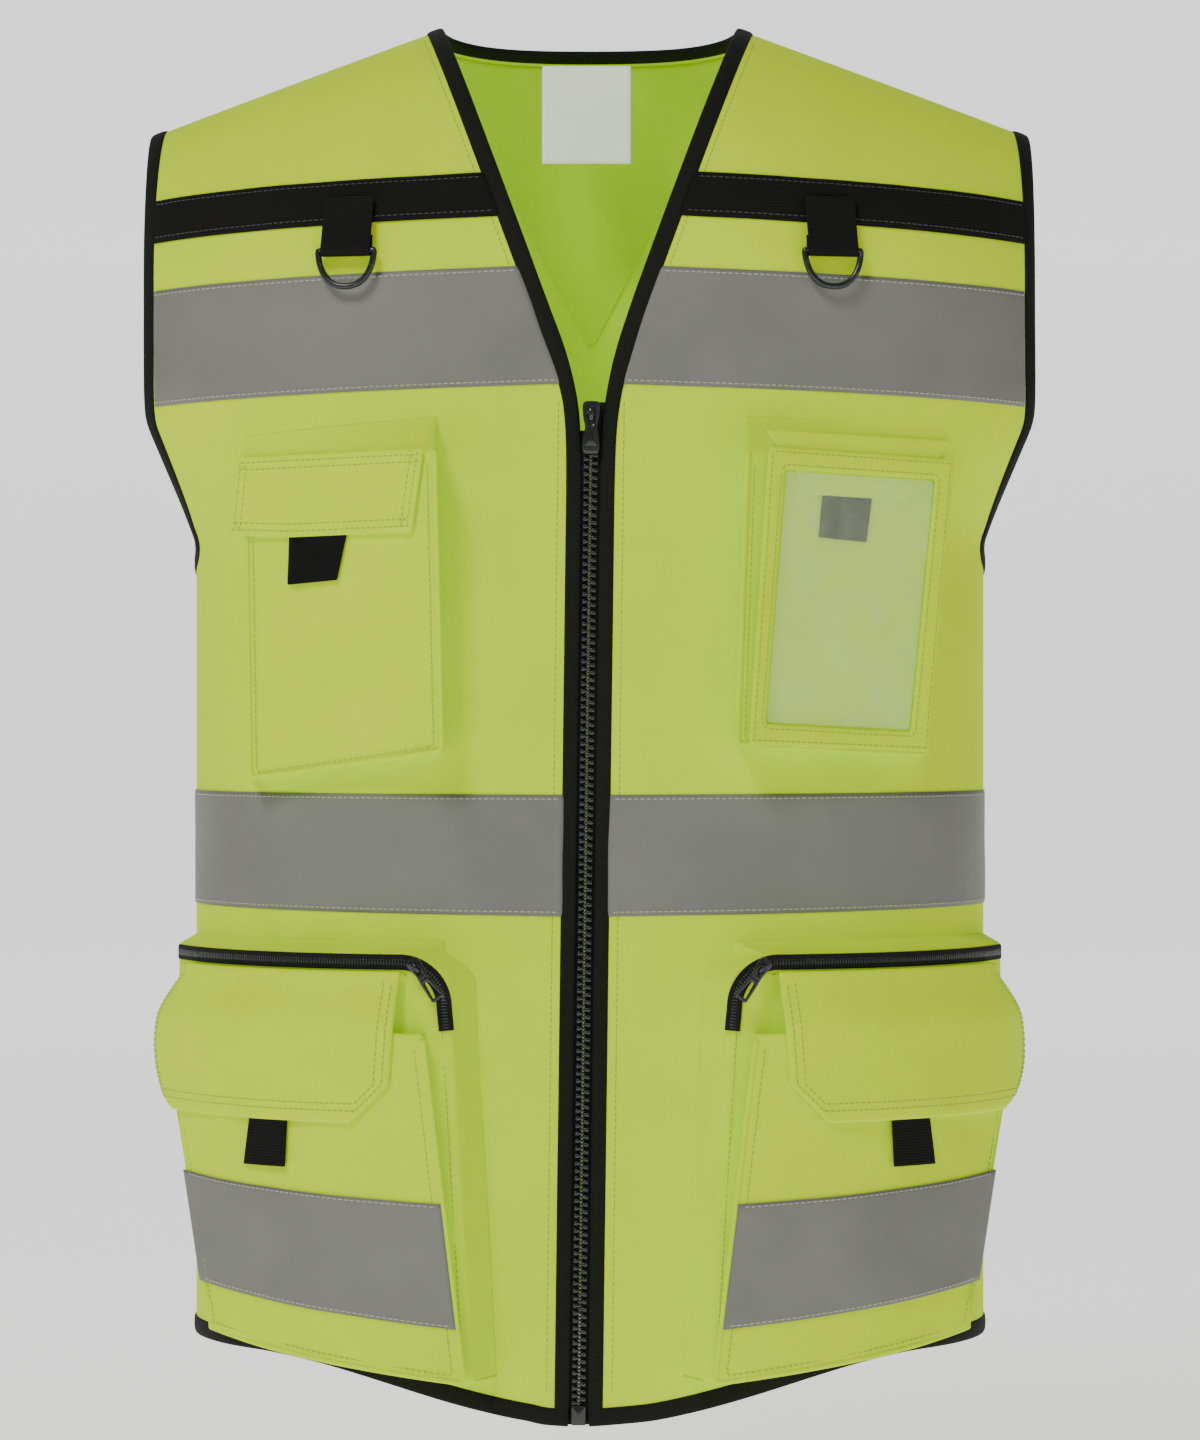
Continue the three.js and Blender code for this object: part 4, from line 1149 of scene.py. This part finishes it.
def flapLift(s, top, seed):
    def lift(x, z):
        down = np.clip((top * mm - z) / 0.045, 0, 1)
        return 0.9 * mm * down ** 1.5 + ripple(x, z, seed + s, 0.04) * 0.45 * mm * down
    return lift


def chestFlap(s):
    look, place, body = chestLook[sides[s]], pocketPlacer(s), sides[s] + "_flap"
    lift = flapLift(s, look["flap"][0][1], 3.0) if s < 0 else noLift
    low = 1.5 if s < 0 else 0.4
    piece = padSlab(sides[s] + "ChestFlap", look["flap"], 2.2, low, low + 1.3, place, lift)
    finishCloth(piece, body, sides[s] + "_chest_flap")
    tab = padSlab(sides[s] + "ChestFlapTab", look["tab"], 1.0, low - 0.1, low + 0.9, place, lift, 6)
    finish(tab, "black_webbing", webbing, body, sides[s] + "_chest_flap_tab")


def creases(x, z):
    # long soft folds in clear vinyl, strongest towards the lower inner corner
    a = np.sin((x * 0.9 + z * 0.35) / 0.011 + np.sin(z / 0.02) * 1.3)
    b = np.sin((x * 0.3 - z) / 0.017 + np.sin(x / 0.013))
    low = smooth((-0.27 - z) / 0.08)
    return 0.35 * mm * (a ** 3 * (0.35 + 0.65 * low) + 0.5 * b ** 3)


def idHolder():
    place = pocketPlacer(1)
    frame = ringSlab("idHolderFrame", holderLook["frame"], holderLook["hole"], (2.5, 2.0), -2.3, -3.9, place)
    finishCloth(frame, "id_holder", "id_holder_frame")
    pane = padSlab("idHolderWindow", holderLook["window"], 2.0, 2.75, 3.15, place, creases, 26)
    finish(pane, "clear_window", clear, "id_holder", "id_holder_window")


# a lower pocket bends about an upright line at x and y, with angles in degrees from straight ahead
bendLook = {"x": 60 * mm, "y": 15 * mm, "rear": 157 * mm, "front": 157.6 * mm, "high": 160 * mm,
            "full": 166.5 * mm,
            "flap": -475 * mm, "flapCorner": -530 * mm, "flapLow": -549 * mm, "mouth": -505 * mm,
            "top": -467 * mm, "floor": -676 * mm, "floorRise": 20 * mm, "floorEnd": 53, "thick": 1.0 * mm}


def onBend(s, angle, z, radius):
    a = np.radians(angle)
    angle, z, radius = np.broadcast_arrays(angle, z, radius)
    x = s * (bendLook["x"] + radius * np.sin(a))
    return np.stack([x, bendLook["y"] - radius * np.cos(a), z + 0 * angle], -1)


def torsoRadius(angle):
    sin, cos = np.sin(np.radians(angle)), np.cos(np.radians(angle))
    deep, wide, back = torso["depth"], torso["waist"] - bendLook["x"], bendLook["y"]
    square = (sin / wide) ** 2 + (cos / deep) ** 2
    linear = back * cos / deep ** 2
    bent = (linear + np.sqrt(linear ** 2 + square * (1 - (back / deep) ** 2))) / square
    return np.where(angle <= 0, (deep + back) / cos, bent)


def outerAngle(z):
    return mix(74, 53, np.clip((-0.520 - z) / 0.136, 0, 1) ** 0.6)


def pocketFloor(angle):
    return bendLook["floor"] + bendLook["floorRise"] * np.clip(angle / bendLook["floorEnd"], 0, 1)


def innerAngle(z):
    return mix(0.3, 7.8, np.clip((z + 0.677) / 0.180, 0, 1))


def bulge(z):
    return mix(bendLook["high"], bendLook["full"], smooth((bendLook["flap"] - z) / 0.03))


def bendUv(angle, z):
    return np.stack(np.broadcast_arrays(np.radians(angle) * bendLook["high"], z), -1)


def bendNormal(s, angle):
    a = np.radians(angle)
    return np.stack([s * np.sin(a), -np.cos(a), 0 * a], -1)


def pocketSoft(s, angle, z):
    return (ripple(angle * 0.003, z, 8.5 + s, 0.045) * 0.9 - 0.2) * mm


def flapInner(z):
    # the flap's inner side, cut off at a slant at its lower corner
    corner, low = bendLook["flapCorner"], bendLook["flapLow"]
    upper = mix(13, 11.7, np.clip((z - corner) / (bendLook["flap"] - corner), 0, 1))
    return np.where(z > corner, upper, mix(19.7, 13, (z - low) / (corner - low)))


def flapOuter(v):
    return 63 + 13 * np.sin(math.pi * v ** 0.8)


def flapSoft(s, angle, z, v):
    return ripple(angle * 0.003, z, 6.1 + s, 0.05) * 0.8 * mm * (1 - v) + 1.0 * mm * (1 - v) ** 2


def rearPocket(s):
    a, b = grid(100, 110)
    u = ramp(a, [0, 0.12, 0.93, 1], [0, 0, 1, 1])
    wSide = ramp(a, [0, 0.10, 0.13, 0.93, 0.96, 1], [0, 0.93, 1, 1, 0.9, 0])
    v = ramp(b, [0, 0.07, 0.9, 1], [0, 0, 1, 1])
    wEnd = ramp(b, [0, 0.06, 0.085, 0.9, 0.915, 1], [0, 0.93, 1, 1, 0.92, 0])
    w = np.minimum(wSide, wEnd)
    slant = mix(-6, -1.4, v) + 5 * w
    z0 = mix(bendLook["floor"], bendLook["top"], v)
    angle = mix(slant + 6 * np.clip((v - 0.93) / 0.07, 0, 1) ** 2, outerAngle(z0), u)
    z = mix(pocketFloor(np.maximum(0, angle)), bendLook["top"], v) + ramp(b, [0, 0.9, 1], [0, 0, 6 * mm])
    soft = ripple(angle * 0.003, z, 5.5 + s, 0.05) * 1.2 * mm * smooth(4 * v * (1 - v)) * wSide
    outer = onBend(s, angle, z, mix(torsoRadius(angle) + 1.3 * mm, bendLook["rear"] + soft * w, w))
    piece = thicken(sides[s] + "ZipPocket", outer, bendLook["thick"], bendUv(angle, z), (s * 0.5, -0.85, 0))
    finishCloth(piece, "shell", sides[s] + "_zip_pocket")


def frontPocket(s):
    a, b = grid(110, 100)
    u = ramp(a, [0, 0.06, 0.95, 1], [0, 0, 1, 1])
    wSide = ramp(a, [0, 0.05, 0.07, 0.94, 0.96, 1], [0, 0.9, 1, 1, 0.9, 0])
    v = ramp(b, [0, 0.05, 1], [0, 0, 1])
    wEnd = ramp(b, [0, 0.04, 0.06, 1], [0, 0.9, 1, 1])
    w = np.minimum(wSide, wEnd)
    z0 = mix(bendLook["floor"], bendLook["mouth"], v)
    angle = mix(innerAngle(z0), outerAngle(z0) - 1, u)
    z = mix(pocketFloor(angle), bendLook["mouth"], v)
    soft = pocketSoft(s, angle, z) * smooth(4 * u * (1 - u)) * smooth(v * 4)
    outer = onBend(s, angle, z, mix(bendLook["front"], bulge(z) + soft, w))
    piece = thicken(sides[s] + "CargoPocket", outer, bendLook["thick"], bendUv(angle, z), (s * 0.5, -0.85, 0))
    finishCloth(piece, "shell", sides[s] + "_cargo_pocket")


def bendSheet(name, s, angle, z, low, high, slotName, material, body, *nodes):
    piece = sheetPiece(name, onBend(s, angle, z, low), onBend(s, angle, z, high), bendUv(angle, z))
    return finish(piece, slotName, material, body, *nodes)


def cargoFlap(s):
    u, v = grid(90, 60)
    z = mix(bendLook["flapLow"], bendLook["flap"], v)
    angle = mix(flapInner(z), flapOuter(v), u)
    base = bulge(z) + 1.0 * mm + flapSoft(s, angle, z, v)
    edge = (np.clip(16 * u * (1 - u), 0, 1) * np.clip(16 * v * (1 - v), 0, 1)) ** 0.3
    name = sides[s] + "_cargo_flap"
    piece = bendSheet(sides[s] + "CargoFlap", s, angle, z, base, base + (0.6 + 1.0 * edge) * mm,
                      "hi_vis_cloth", cloth, name + "_body", name)
    u, v = grid(24, 20)
    angle = mix(mix(32.5, 41.5, u), mix(32, 40, u), v)
    z = mix(-0.572, -0.546, v)
    low = bendLook["full"] + 0.9 * mm
    bendSheet(sides[s] + "CargoFlapTab", s, angle, z, low, low + 1.1 * mm,
              "black_webbing", webbing, name + "_body", name + "_tab")


def cargoTape(s):
    u, v = grid(90, 22)
    low, high = mix(-0.649, -0.633, u), mix(-0.588, -0.579, u)
    z = mix(low, high, v)
    angle = mix(innerAngle(z) + 0.3, outerAngle(z) - 1.0, u)
    radius = bulge(z) + pocketSoft(s, angle, z) * smooth(4 * u * (1 - u))
    bendSheet(sides[s] + "CargoTape", s, angle, z, radius + 0.35 * mm, radius + 1.0 * mm,
              "reflective_tape", reflective, "shell", sides[s] + "_cargo_tape")


def cargoZip(s):
    # over the top and down round the inner corner
    phi = np.linspace(math.radians(88), 0, 30)
    angle = np.concatenate([[3.6, 3.7, 3.8, 3.9], 12 - 8 * np.sin(phi), np.linspace(12.8, 72, 70)])
    top = -0.4706
    start = [-0.504, -0.501, -0.498, -0.495]
    z = np.concatenate([start, top - 0.022 * (1 - np.cos(phi)), np.full(70, top)])
    middle = onBend(s, angle, z, bendLook["rear"] + 0.9 * mm)
    normal = bendNormal(s, angle)
    along = unit(np.gradient(middle, axis=0))
    across = unit(np.cross(along, normal))
    profile = ovalProfile(18, 7.6 * mm, 1.7 * mm, 5.0)
    groove = 0.45 * mm * np.exp(-(profile[:, 0] / (0.8 * mm)) ** 2) * (profile[:, 1] > 0)
    profile[:, 1] -= groove
    piece = sweepPiece(sides[s] + "CargoZip", stationsAlong(middle, across, normal, profile))
    finish(piece, "black_zip_tape", zipTape, "shell", sides[s] + "_cargo_zip")
    # one short rod across the chain for each tooth
    pitch = 1.5 * mm
    run = runLength(middle)
    at = np.arange(pitch, run[-1] - 1 * mm, pitch)
    ways = [unit(sample(at, run, values))[:, None, None] for values in (along, across, normal)]
    base = sample(at, run, middle)[:, None, None] + ways[2] * 0.55 * mm
    t = np.linspace(-1.5 * mm, 1.5 * mm, 4)[:, None, None]
    ring = ovalProfile(6, 0.95 * mm, 0.9 * mm, 2.2)
    rods = base + ways[1] * t + ways[0] * ring[:, :1] + ways[2] * ring[:, 1:]
    finishPlastic(copies(sides[s] + "CargoZipTeeth", rods), "shell")


def cargoPull(s):
    a, roll = math.radians(8.5), math.radians(38)
    origin = onBend(s, 8.5, -0.473, 162.2 * mm)
    place = placer(origin, (s * math.sin(a), -math.cos(a), 0), (s * math.sin(roll), 0, math.cos(roll)))
    name = sides[s]
    slider(name + "CargoSlider", place, name + "_cargo_slider_body", name + "_cargo_slider", 0.8, False)
    body = name + "_cargo_pull_body"
    top = [(-2.0, 0.9), (2.0, 0.9), (2.6, -4), (2.9, -7), (-2.9, -7), (-2.6, -4)]
    window = [(-1.2, -0.6), (1.2, -0.6), (1.2, -2.4), (0.7, -3.9), (-0.7, -3.9), (-1.2, -2.4)]
    piece = ringSlab(name + "CargoPull", top, window, (0.8, 0.4), -4.5, -3.2, place)
    finishPlastic(piece, body, name + "_cargo_pull")
    lower = [(-2.8, -6.4), (2.8, -6.4), (3.7, -19), (-3.7, -19)]
    hole = [(-0.9, -8.6), (0.9, -8.6), (2.2, -17.2), (-2.2, -17.2)]
    finishPlastic(ringSlab(name + "CargoPullLoop", lower, hole, (1.4, 0.7), -5.7, -4.2, place), body)


for s in sides:
    chestPocket(s)
    chestFlap(s)
    rearPocket(s)
    frontPocket(s)
    cargoFlap(s)
    cargoTape(s)
    cargoZip(s)
    cargoPull(s)
idHolder()
print("pockets made")


# rows of stitches and piped edges

stitchLook = {"step": 3.1 * mm, "long": 2.3 * mm, "wide": 0.62 * mm, "thick": 0.5 * mm, "sink": 0.02 * mm}
threadSlots = {"limeThread": "hi_vis_cloth", "greyThread": "reflective_tape", "blackThread": "black_webbing"}


def stitchRow(name, points, normals, thread, body, closed=False):
    # one short rod per stitch, lying along the row
    if closed:
        points, normals = np.concatenate([points, points[:1]]), np.concatenate([normals, normals[:1]])
    run = runLength(points)
    at = np.arange(stitchLook["step"], run[-1] - stitchLook["step"] * 0.5, stitchLook["step"])
    half = stitchLook["long"] / 2
    base = sample(at, run, points)[:, None, None]
    along = unit(sample(at + half, run, points) - sample(at - half, run, points))
    normal = unit(sample(at, run, normals))
    across = unit(np.cross(along, normal))
    along, across, normal = along[:, None, None], across[:, None, None], normal[:, None, None]
    t = np.array([-1.0, -0.8, 0.0, 0.8, 1.0])[:, None, None] * half
    width = np.array([0.35, 0.9, 1.0, 0.9, 0.35])[:, None, None]
    ring = ovalProfile(6, stitchLook["wide"], stitchLook["thick"], 2.0) * width
    rods = base + along * t + across * ring[..., :1] + normal * (ring[..., 1:] + stitchLook["sink"])
    return finish(copies(name, rods), threadSlots[thread.name], thread, body)


def bandStitches(name, s, part, layer, inset, thread, outerX):
    low, high, layer = bandLook[part + "Low"], bandLook[part + "High"], bandLook[layer]
    t = np.linspace(0.004, 0.994, 240)
    across = np.sin(t * math.pi / 2)
    for k, share in (("Low", inset), ("High", 1 - inset)):
        px, z, wave = bandPoint(s, low, high, insideNeck, outerX, across, share)
        stitchRow(name + k, cover(px, z, -1, layer[1] + wave), normalAt(px, z, -1), thread, foldBlend(s))


def frontStitches(s):
    name = sides[s]
    bandStitches(name + "ChestTapeStitch", s, "chest", "tape", 0.035, greyThread, insideArmhole)
    bandStitches(name + "WaistTapeStitch", s, "waist", "tape", 0.035, greyThread, waistX)
    bandStitches(name + "WebbingStitch", s, "web", "webbing", 0.12, blackThread, insideArmhole)
    z = np.linspace(-0.686, torso["zipTop"], 300)
    x = 16.2 * mm + 0 * z
    rows = [("PlacketStitch", s * x + leanAt(x, z), z)]
    z = np.linspace(torso["zipTop"] + 0.004, -0.006, 240)
    rows.append(("NeckStitch", s * (neckEdgeX(z) + 3.2 * mm), z))
    for row, px, z in rows:
        points = cover(px, z, -1, panelLook["outer"])
        stitchRow(name + row, points, normalAt(px, z, -1), limeThread, foldBlend(s))


def outlineStitch(name, corners, radius, inset, depth, place, lift, body):
    flat = outlinePoints(corners, radius, 9, 6)
    flat = flat - outward(flat) * inset * mm
    points = place(flat[:, 0], -depth * mm - lift(flat[:, 0], flat[:, 1]), flat[:, 1])
    normals = np.tile(place(0, -1, 0) - place(0, 0, 0), (len(points), 1))
    stitchRow(name, points, normals, limeThread, body, closed=True)


def chestDetails(s):
    look, place, name = chestLook[sides[s]], pocketPlacer(s), sides[s]
    (tl, tr), (bl, br) = look["top"], look["bottom"]
    route = np.array([tl, bl, br, tr], float) * mm
    line = relax(sample(np.linspace(0, 3, 240), np.arange(4), route), 3)
    normals = np.tile(place(0, -1, 0) - place(0, 0, 0), (len(line), 1))
    ridge(name + "ChestPiping", place(line[:, 0], -0.2 * mm, line[:, 1]), normals, pipedRidge)
    inner = line.mean(0) + (line - line.mean(0)) * np.array([0.925, 0.955])
    swell = chestLook["swell"] * (0.62 if s < 0 else 0.1)
    keep = inner[:, 1] < (-0.222 if s < 0 else -0.225)
    points = place(inner[:, 0], -swell, inner[:, 1])[keep]
    stitchRow(name + "ChestStitch", points, normals[keep], limeThread, "shell")
    body = name + "_flap"
    if s < 0:
        lift = flapLift(s, look["flap"][0][1], 3.0)
        outlineStitch("rightFlapStitch", look["flap"], 2.2, 3.0, 2.8, place, lift, body)
        outlineStitch("rightFlapStitchInner", look["flap"], 2.2, 6.5, 2.8, place, lift, body)
    else:
        outlineStitch("holderStitch", holderLook["frame"], 2.5, 2.2, 3.9, place, noLift, "id_holder")
        outlineStitch("holderStitchInner", holderLook["hole"], 2.0, -2.2, 3.9, place, noLift, "id_holder")


def bendRow(name, s, angle, z, radius, body="shell", thread=limeThread):
    stitchRow(name, onBend(s, angle, z, radius), bendNormal(s, angle), thread, body)


def cargoEdge(s):
    # piping down the outer edge, along the floor and up the inner edge, and a row of stitches inside it
    name = sides[s]
    t = np.linspace(0, 1, 160)
    zSide = mix(-0.672, -0.508, t)
    edgeIn = innerAngle(zSide)
    across = mix(innerAngle(bendLook["floor"]), 52.0, t)
    floor = pocketFloor(across)
    zOuter = mix(-0.656, -0.508, t)
    edgeOut = outerAngle(zOuter) - 1.5
    angle = np.concatenate([edgeOut[::-1], across[::-1], edgeIn])
    z = np.concatenate([zOuter[::-1], floor[::-1] + 0.5 * mm, zSide])
    line = relax(np.stack([angle, z], -1), 3)
    angle, z = line[:, 0], line[:, 1]
    sunk = (0.2 + 0.8 * smooth((angle - 35) / 12)) * mm
    ridge(name + "CargoPiping", onBend(s, angle, z, bulge(z) - sunk), bendNormal(s, angle), pipedRidge)
    middleA, middleZ = 29.0, -0.59
    angle = (angle - middleA) * 0.93 + middleA
    z = (z - middleZ) * 0.955 + middleZ
    bendRow(name + "CargoStitch", s, angle, z, bulge(z) + pocketSoft(s, angle, z) * 0.9 + 0.35 * mm)


def flapStitches(s):
    low, high, margin = bendLook["flapLow"], bendLook["flap"], 2.6 * mm
    v = np.linspace(0.04, 0.97, 120)
    for row, inset in (("", 1.2), ("Inner", 2.6)):
        side = mix(low + inset * margin, high - margin, v)
        inner = flapInner(side) + inset
        outer = flapOuter(np.clip((side - low) / (high - low), 0, 1)) - inset
        bottom = np.linspace(outer[0], inner[0], 160)
        angle = np.concatenate([outer[::-1], bottom, inner])
        z = np.concatenate([side[::-1], np.full(160, side[0]), side])
        radius = bulge(z) + 2.62 * mm + flapSoft(s, angle, z, (z - low) / (high - low))
        bendRow(sides[s] + "CargoFlapStitch" + row, s, angle, z, radius, sides[s] + "_cargo_flap_body")


def pocketRows(s):
    # along both edges of the tape, up the rear pocket's inner side and under its zip
    name = sides[s]
    t = np.linspace(0, 1, 160)
    for row, low, high in (("Low", -0.6475, -0.6315), ("High", -0.5895, -0.5805)):
        z = mix(low, high, t)
        angle = mix(innerAngle(z) + 0.8, outerAngle(z) - 2.0, t)
        radius = bulge(z) + pocketSoft(s, angle, z) * smooth(4 * t * (1 - t)) + 1.0 * mm
        bendRow(name + "CargoTapeStitch" + row, s, angle, z, radius, thread=greyThread)
    z = mix(-0.665, -0.480, t)
    slant = mix(-6, -1.4, (z - bendLook["floor"]) / (bendLook["top"] - bendLook["floor"])) + 5
    bendRow(name + "ZipPocketStitch", s, slant + 1.6, z, bendLook["rear"] + 0.5 * mm)
    bendRow(name + "ZipBandStitch", s, mix(10, 70, t), np.full(160, -0.4768), bendLook["rear"] + 0.6 * mm)


for s in sides:
    frontStitches(s)
    chestDetails(s)
    cargoEdge(s)
    flapStitches(s)
    pocketRows(s)
print("stitches made")


# camera, light and floor

# each light has its place, its size and its power
stageLook = {"distance": 2.4, "width": 0.624, "side": 0.0052, "height": -0.352, "sensor": 36.0,
             "floor": -0.80, "floorFront": -6.0, "floorBack": 5.0, "floorHalf": 8.0, "sweep": 1.5,
             "wall": 5.0,
             "key": ((-1.1, -1.9, 1.9), 0.8, 46.0), "fill": ((1.6, -2.4, 0.4), 1.8, 3.0),
             "rim": ((0.0, 1.8, 1.6), 1.5, 5.0), "aim": (0, 0, -0.35), "sky": 0.2, "glow": 0.9}


def makeStage():
    # pale floor that sweeps up behind, three soft lights and the camera straight in front
    look, n = stageLook, 60
    t = np.linspace(0, 1, n)
    a = np.clip(t * 2 - 1, 0, 1) * math.pi / 2
    flat = mix(look["floorFront"], look["floorBack"], t * 2)
    y = np.where(t < 0.5, flat, look["floorBack"] + look["sweep"] * np.sin(a))
    z = np.where(t < 0.5, 0.0, look["sweep"] * (1 - np.cos(a)))
    z = look["floor"] + np.where(t > 0.98, look["wall"], z)
    x = np.linspace(-look["floorHalf"], look["floorHalf"], 3)
    points = np.stack(np.broadcast_arrays(x[None, :], y[:, None], z[:, None]), -1)
    floor = meshObject("floor", points, quads(n, 3).tolist())
    s = Shade("paleFloor", 0.8)
    cloud = s.noise(s.place(), 3.0, 2.0)
    s.feed("Base Color", s.blendColour(cloud, rgba(0.86, 0.86, 0.86), rgba(0.90, 0.90, 0.90)))
    s.shader.inputs["Emission Color"].default_value = rgba(1, 1, 1)
    s.shader.inputs["Emission Strength"].default_value = look["glow"]
    floor.data.materials.append(s.material)
    world = bpy.context.scene.world or bpy.data.worlds.new("studio")
    bpy.context.scene.world = world
    world.use_nodes = True
    world.node_tree.nodes["Background"].inputs[0].default_value = (1, 1, 1, 1)
    world.node_tree.nodes["Background"].inputs[1].default_value = look["sky"]
    for name in ("key", "fill", "rim"):
        place, size, power = look[name]
        light = bpy.data.lights.new(name, "AREA")
        light.size, light.energy = size, power
        lamp = bpy.data.objects.new(name, light)
        lamp.location = place
        lamp.rotation_euler = (Vector(look["aim"]) - Vector(place)).to_track_quat("-Z", "Y").to_euler()
        bpy.context.scene.collection.objects.link(lamp)
    camera = bpy.data.cameras.new("camera")
    camera.sensor_fit = "HORIZONTAL"
    camera.sensor_width = look["sensor"]
    camera.lens = look["sensor"] * look["distance"] / look["width"]
    viewer = bpy.data.objects.new("camera", camera)
    viewer.location = (look["side"], -look["distance"], look["height"])
    viewer.rotation_euler = (math.pi / 2, 0, 0)
    bpy.context.scene.collection.objects.link(viewer)
    bpy.context.scene.camera = viewer


makeStage()
print("stage made")
